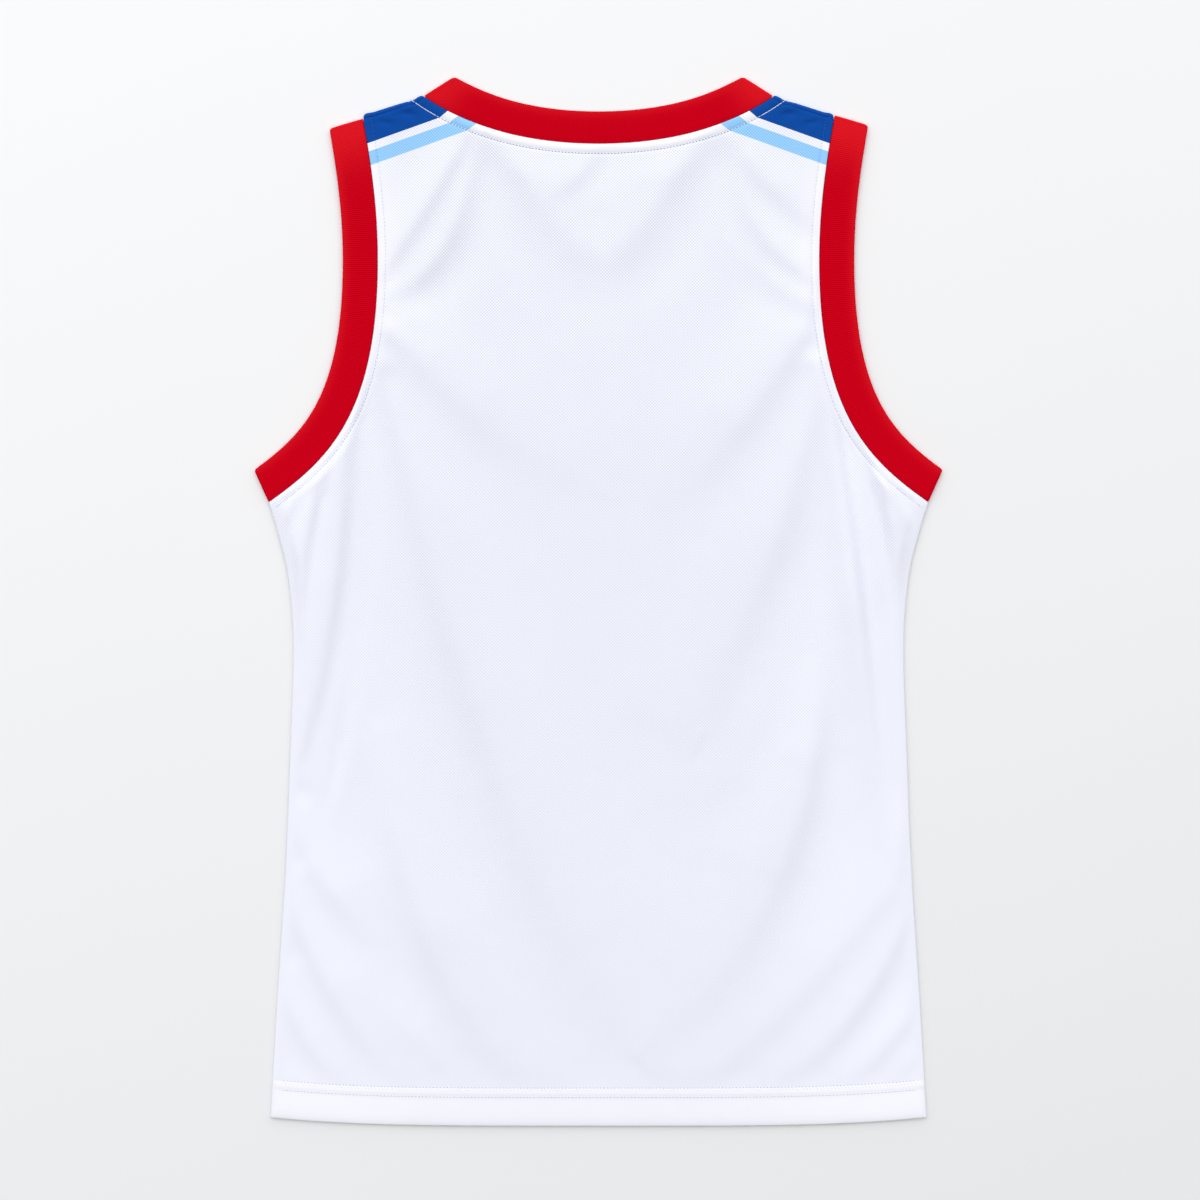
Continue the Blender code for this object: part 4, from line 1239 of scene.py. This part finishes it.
IMAGE_WIDTH = 900.0     # what the picture shows at the jersey's level
IMAGE_MIDDLE = (1.1, 394.9)
LENS = 85.0
SENSOR = 36.0
FLOOR_SIZE = 12.0       # from its middle to its edges, in metres
FLOOR_TONE = 0.995
FLOOR_UP, FLOOR_ACROSS = 1.6e-4, -5.2e-5    # how its tone changes in a millimetre
FLOOR_RANGE = 0.09      # and the most that it changes
BACKDROP = 0.4115       # the studio's brightness near the floor at its sides
OVERHEAD = 1.172        # how much brighter it is straight above, falling with height squared
TOWARDS = 1.172         # how much brighter it is behind the collar, and darker behind the hem
TOWARDS_WAY = 96.0      # that direction, in degrees from +x
DARKEST = 0.1
STUDIO_COLOUR = (0.985, 0.99, 1.0)


def make_camera():
    """A camera straight above the jersey, which looks down."""
    camera = bpy.data.cameras.new("camera")
    camera.lens = LENS
    camera.sensor_width = SENSOR
    camera.clip_end = 20
    made = bpy.data.objects.new("camera", camera)
    made.location = Vector((IMAGE_MIDDLE[0], IMAGE_MIDDLE[1] - MIDDLE_UP,
                            IMAGE_WIDTH * LENS / SENSOR + TOP_LEVEL)) * MM
    bpy.context.scene.collection.objects.link(made)
    bpy.context.scene.camera = made


def make_floor():
    """A pale floor that is slightly lighter towards the light."""
    mesh = bpy.data.meshes.new("floor")
    corners = [(x * FLOOR_SIZE, y * FLOOR_SIZE, 0) for x, y in ((-1, -1), (1, -1), (1, 1), (-1, 1))]
    mesh.from_pydata(corners, [], [(0, 1, 2, 3)])
    m = Material("pale_floor", 0.8)
    vector, x, y = m.place()
    grade = m.total(0.0, (y, FLOOR_UP), (x, FLOOR_ACROSS))
    grade = m.math("MINIMUM", m.math("MAXIMUM", grade, -FLOOR_RANGE), FLOOR_RANGE)
    tone = m.math("ADD", m.total(FLOOR_TONE, (m.noise(vector, 0.004, 2), 0.01)), grade)
    mesh.materials.append(m.finish(FLOOR, tone))
    floor = bpy.data.objects.new("floor", mesh)
    bpy.context.scene.collection.objects.link(floor)


def make_light():
    """A white studio with its light above and behind the collar."""
    world = bpy.data.worlds.new("studio")
    world.use_nodes = True
    m = Nodes(world.node_tree)
    way = m.node("TexCoord").outputs["Generated"]
    along, above = (m.node("VectorMath", way, aim, operation="DOT_PRODUCT").outputs["Value"]
                    for aim in ((*unit(TOWARDS_WAY), 0.0), (0.0, 0.0, 1.0)))
    bright = m.total(BACKDROP, (m.times(above, above), OVERHEAD), (along, TOWARDS))
    background = world.node_tree.nodes["Background"]
    background.inputs["Color"].default_value = STUDIO_COLOUR + (1,)
    m.link(m.math("MAXIMUM", bright, DARKEST), background.inputs["Strength"])
    bpy.context.scene.world = world
    bpy.context.scene.view_settings.view_transform = "Standard"


def main():
    knit, rib, hole_shade = knit_material(), rib_material(), hole_shade_material()
    thread, printed = thread_material("white_thread", False), thread_material("printed_thread_painted_sheen", True)
    grid = back_grid()
    top = back_top(*grid)
    back = make_back(grid, top, knit)
    front = make_front(knit)
    lips = [make_lip("front_shoulder_" + name, side, knit) for name, side in (("left", -1), ("right", 1))]
    neck = make_neck_rib(rib)
    left = make_arm_rib("armhole_rib_left_knit", -1, rib)
    right = make_arm_rib("armhole_rib_right_knit", 1, rib)
    stitches = make_stitches(grid[0], top, thread, printed, hole_shade)
    for piece, node in ((back, "back_panel"), (front, "front_panel"), (neck, "neck_rib"),
                        (left, "armhole_rib_left"), (right, "armhole_rib_right")):
        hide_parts(node)
    make_floor()
    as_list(stitches[:-1])
    make_camera()
    make_light()


main()
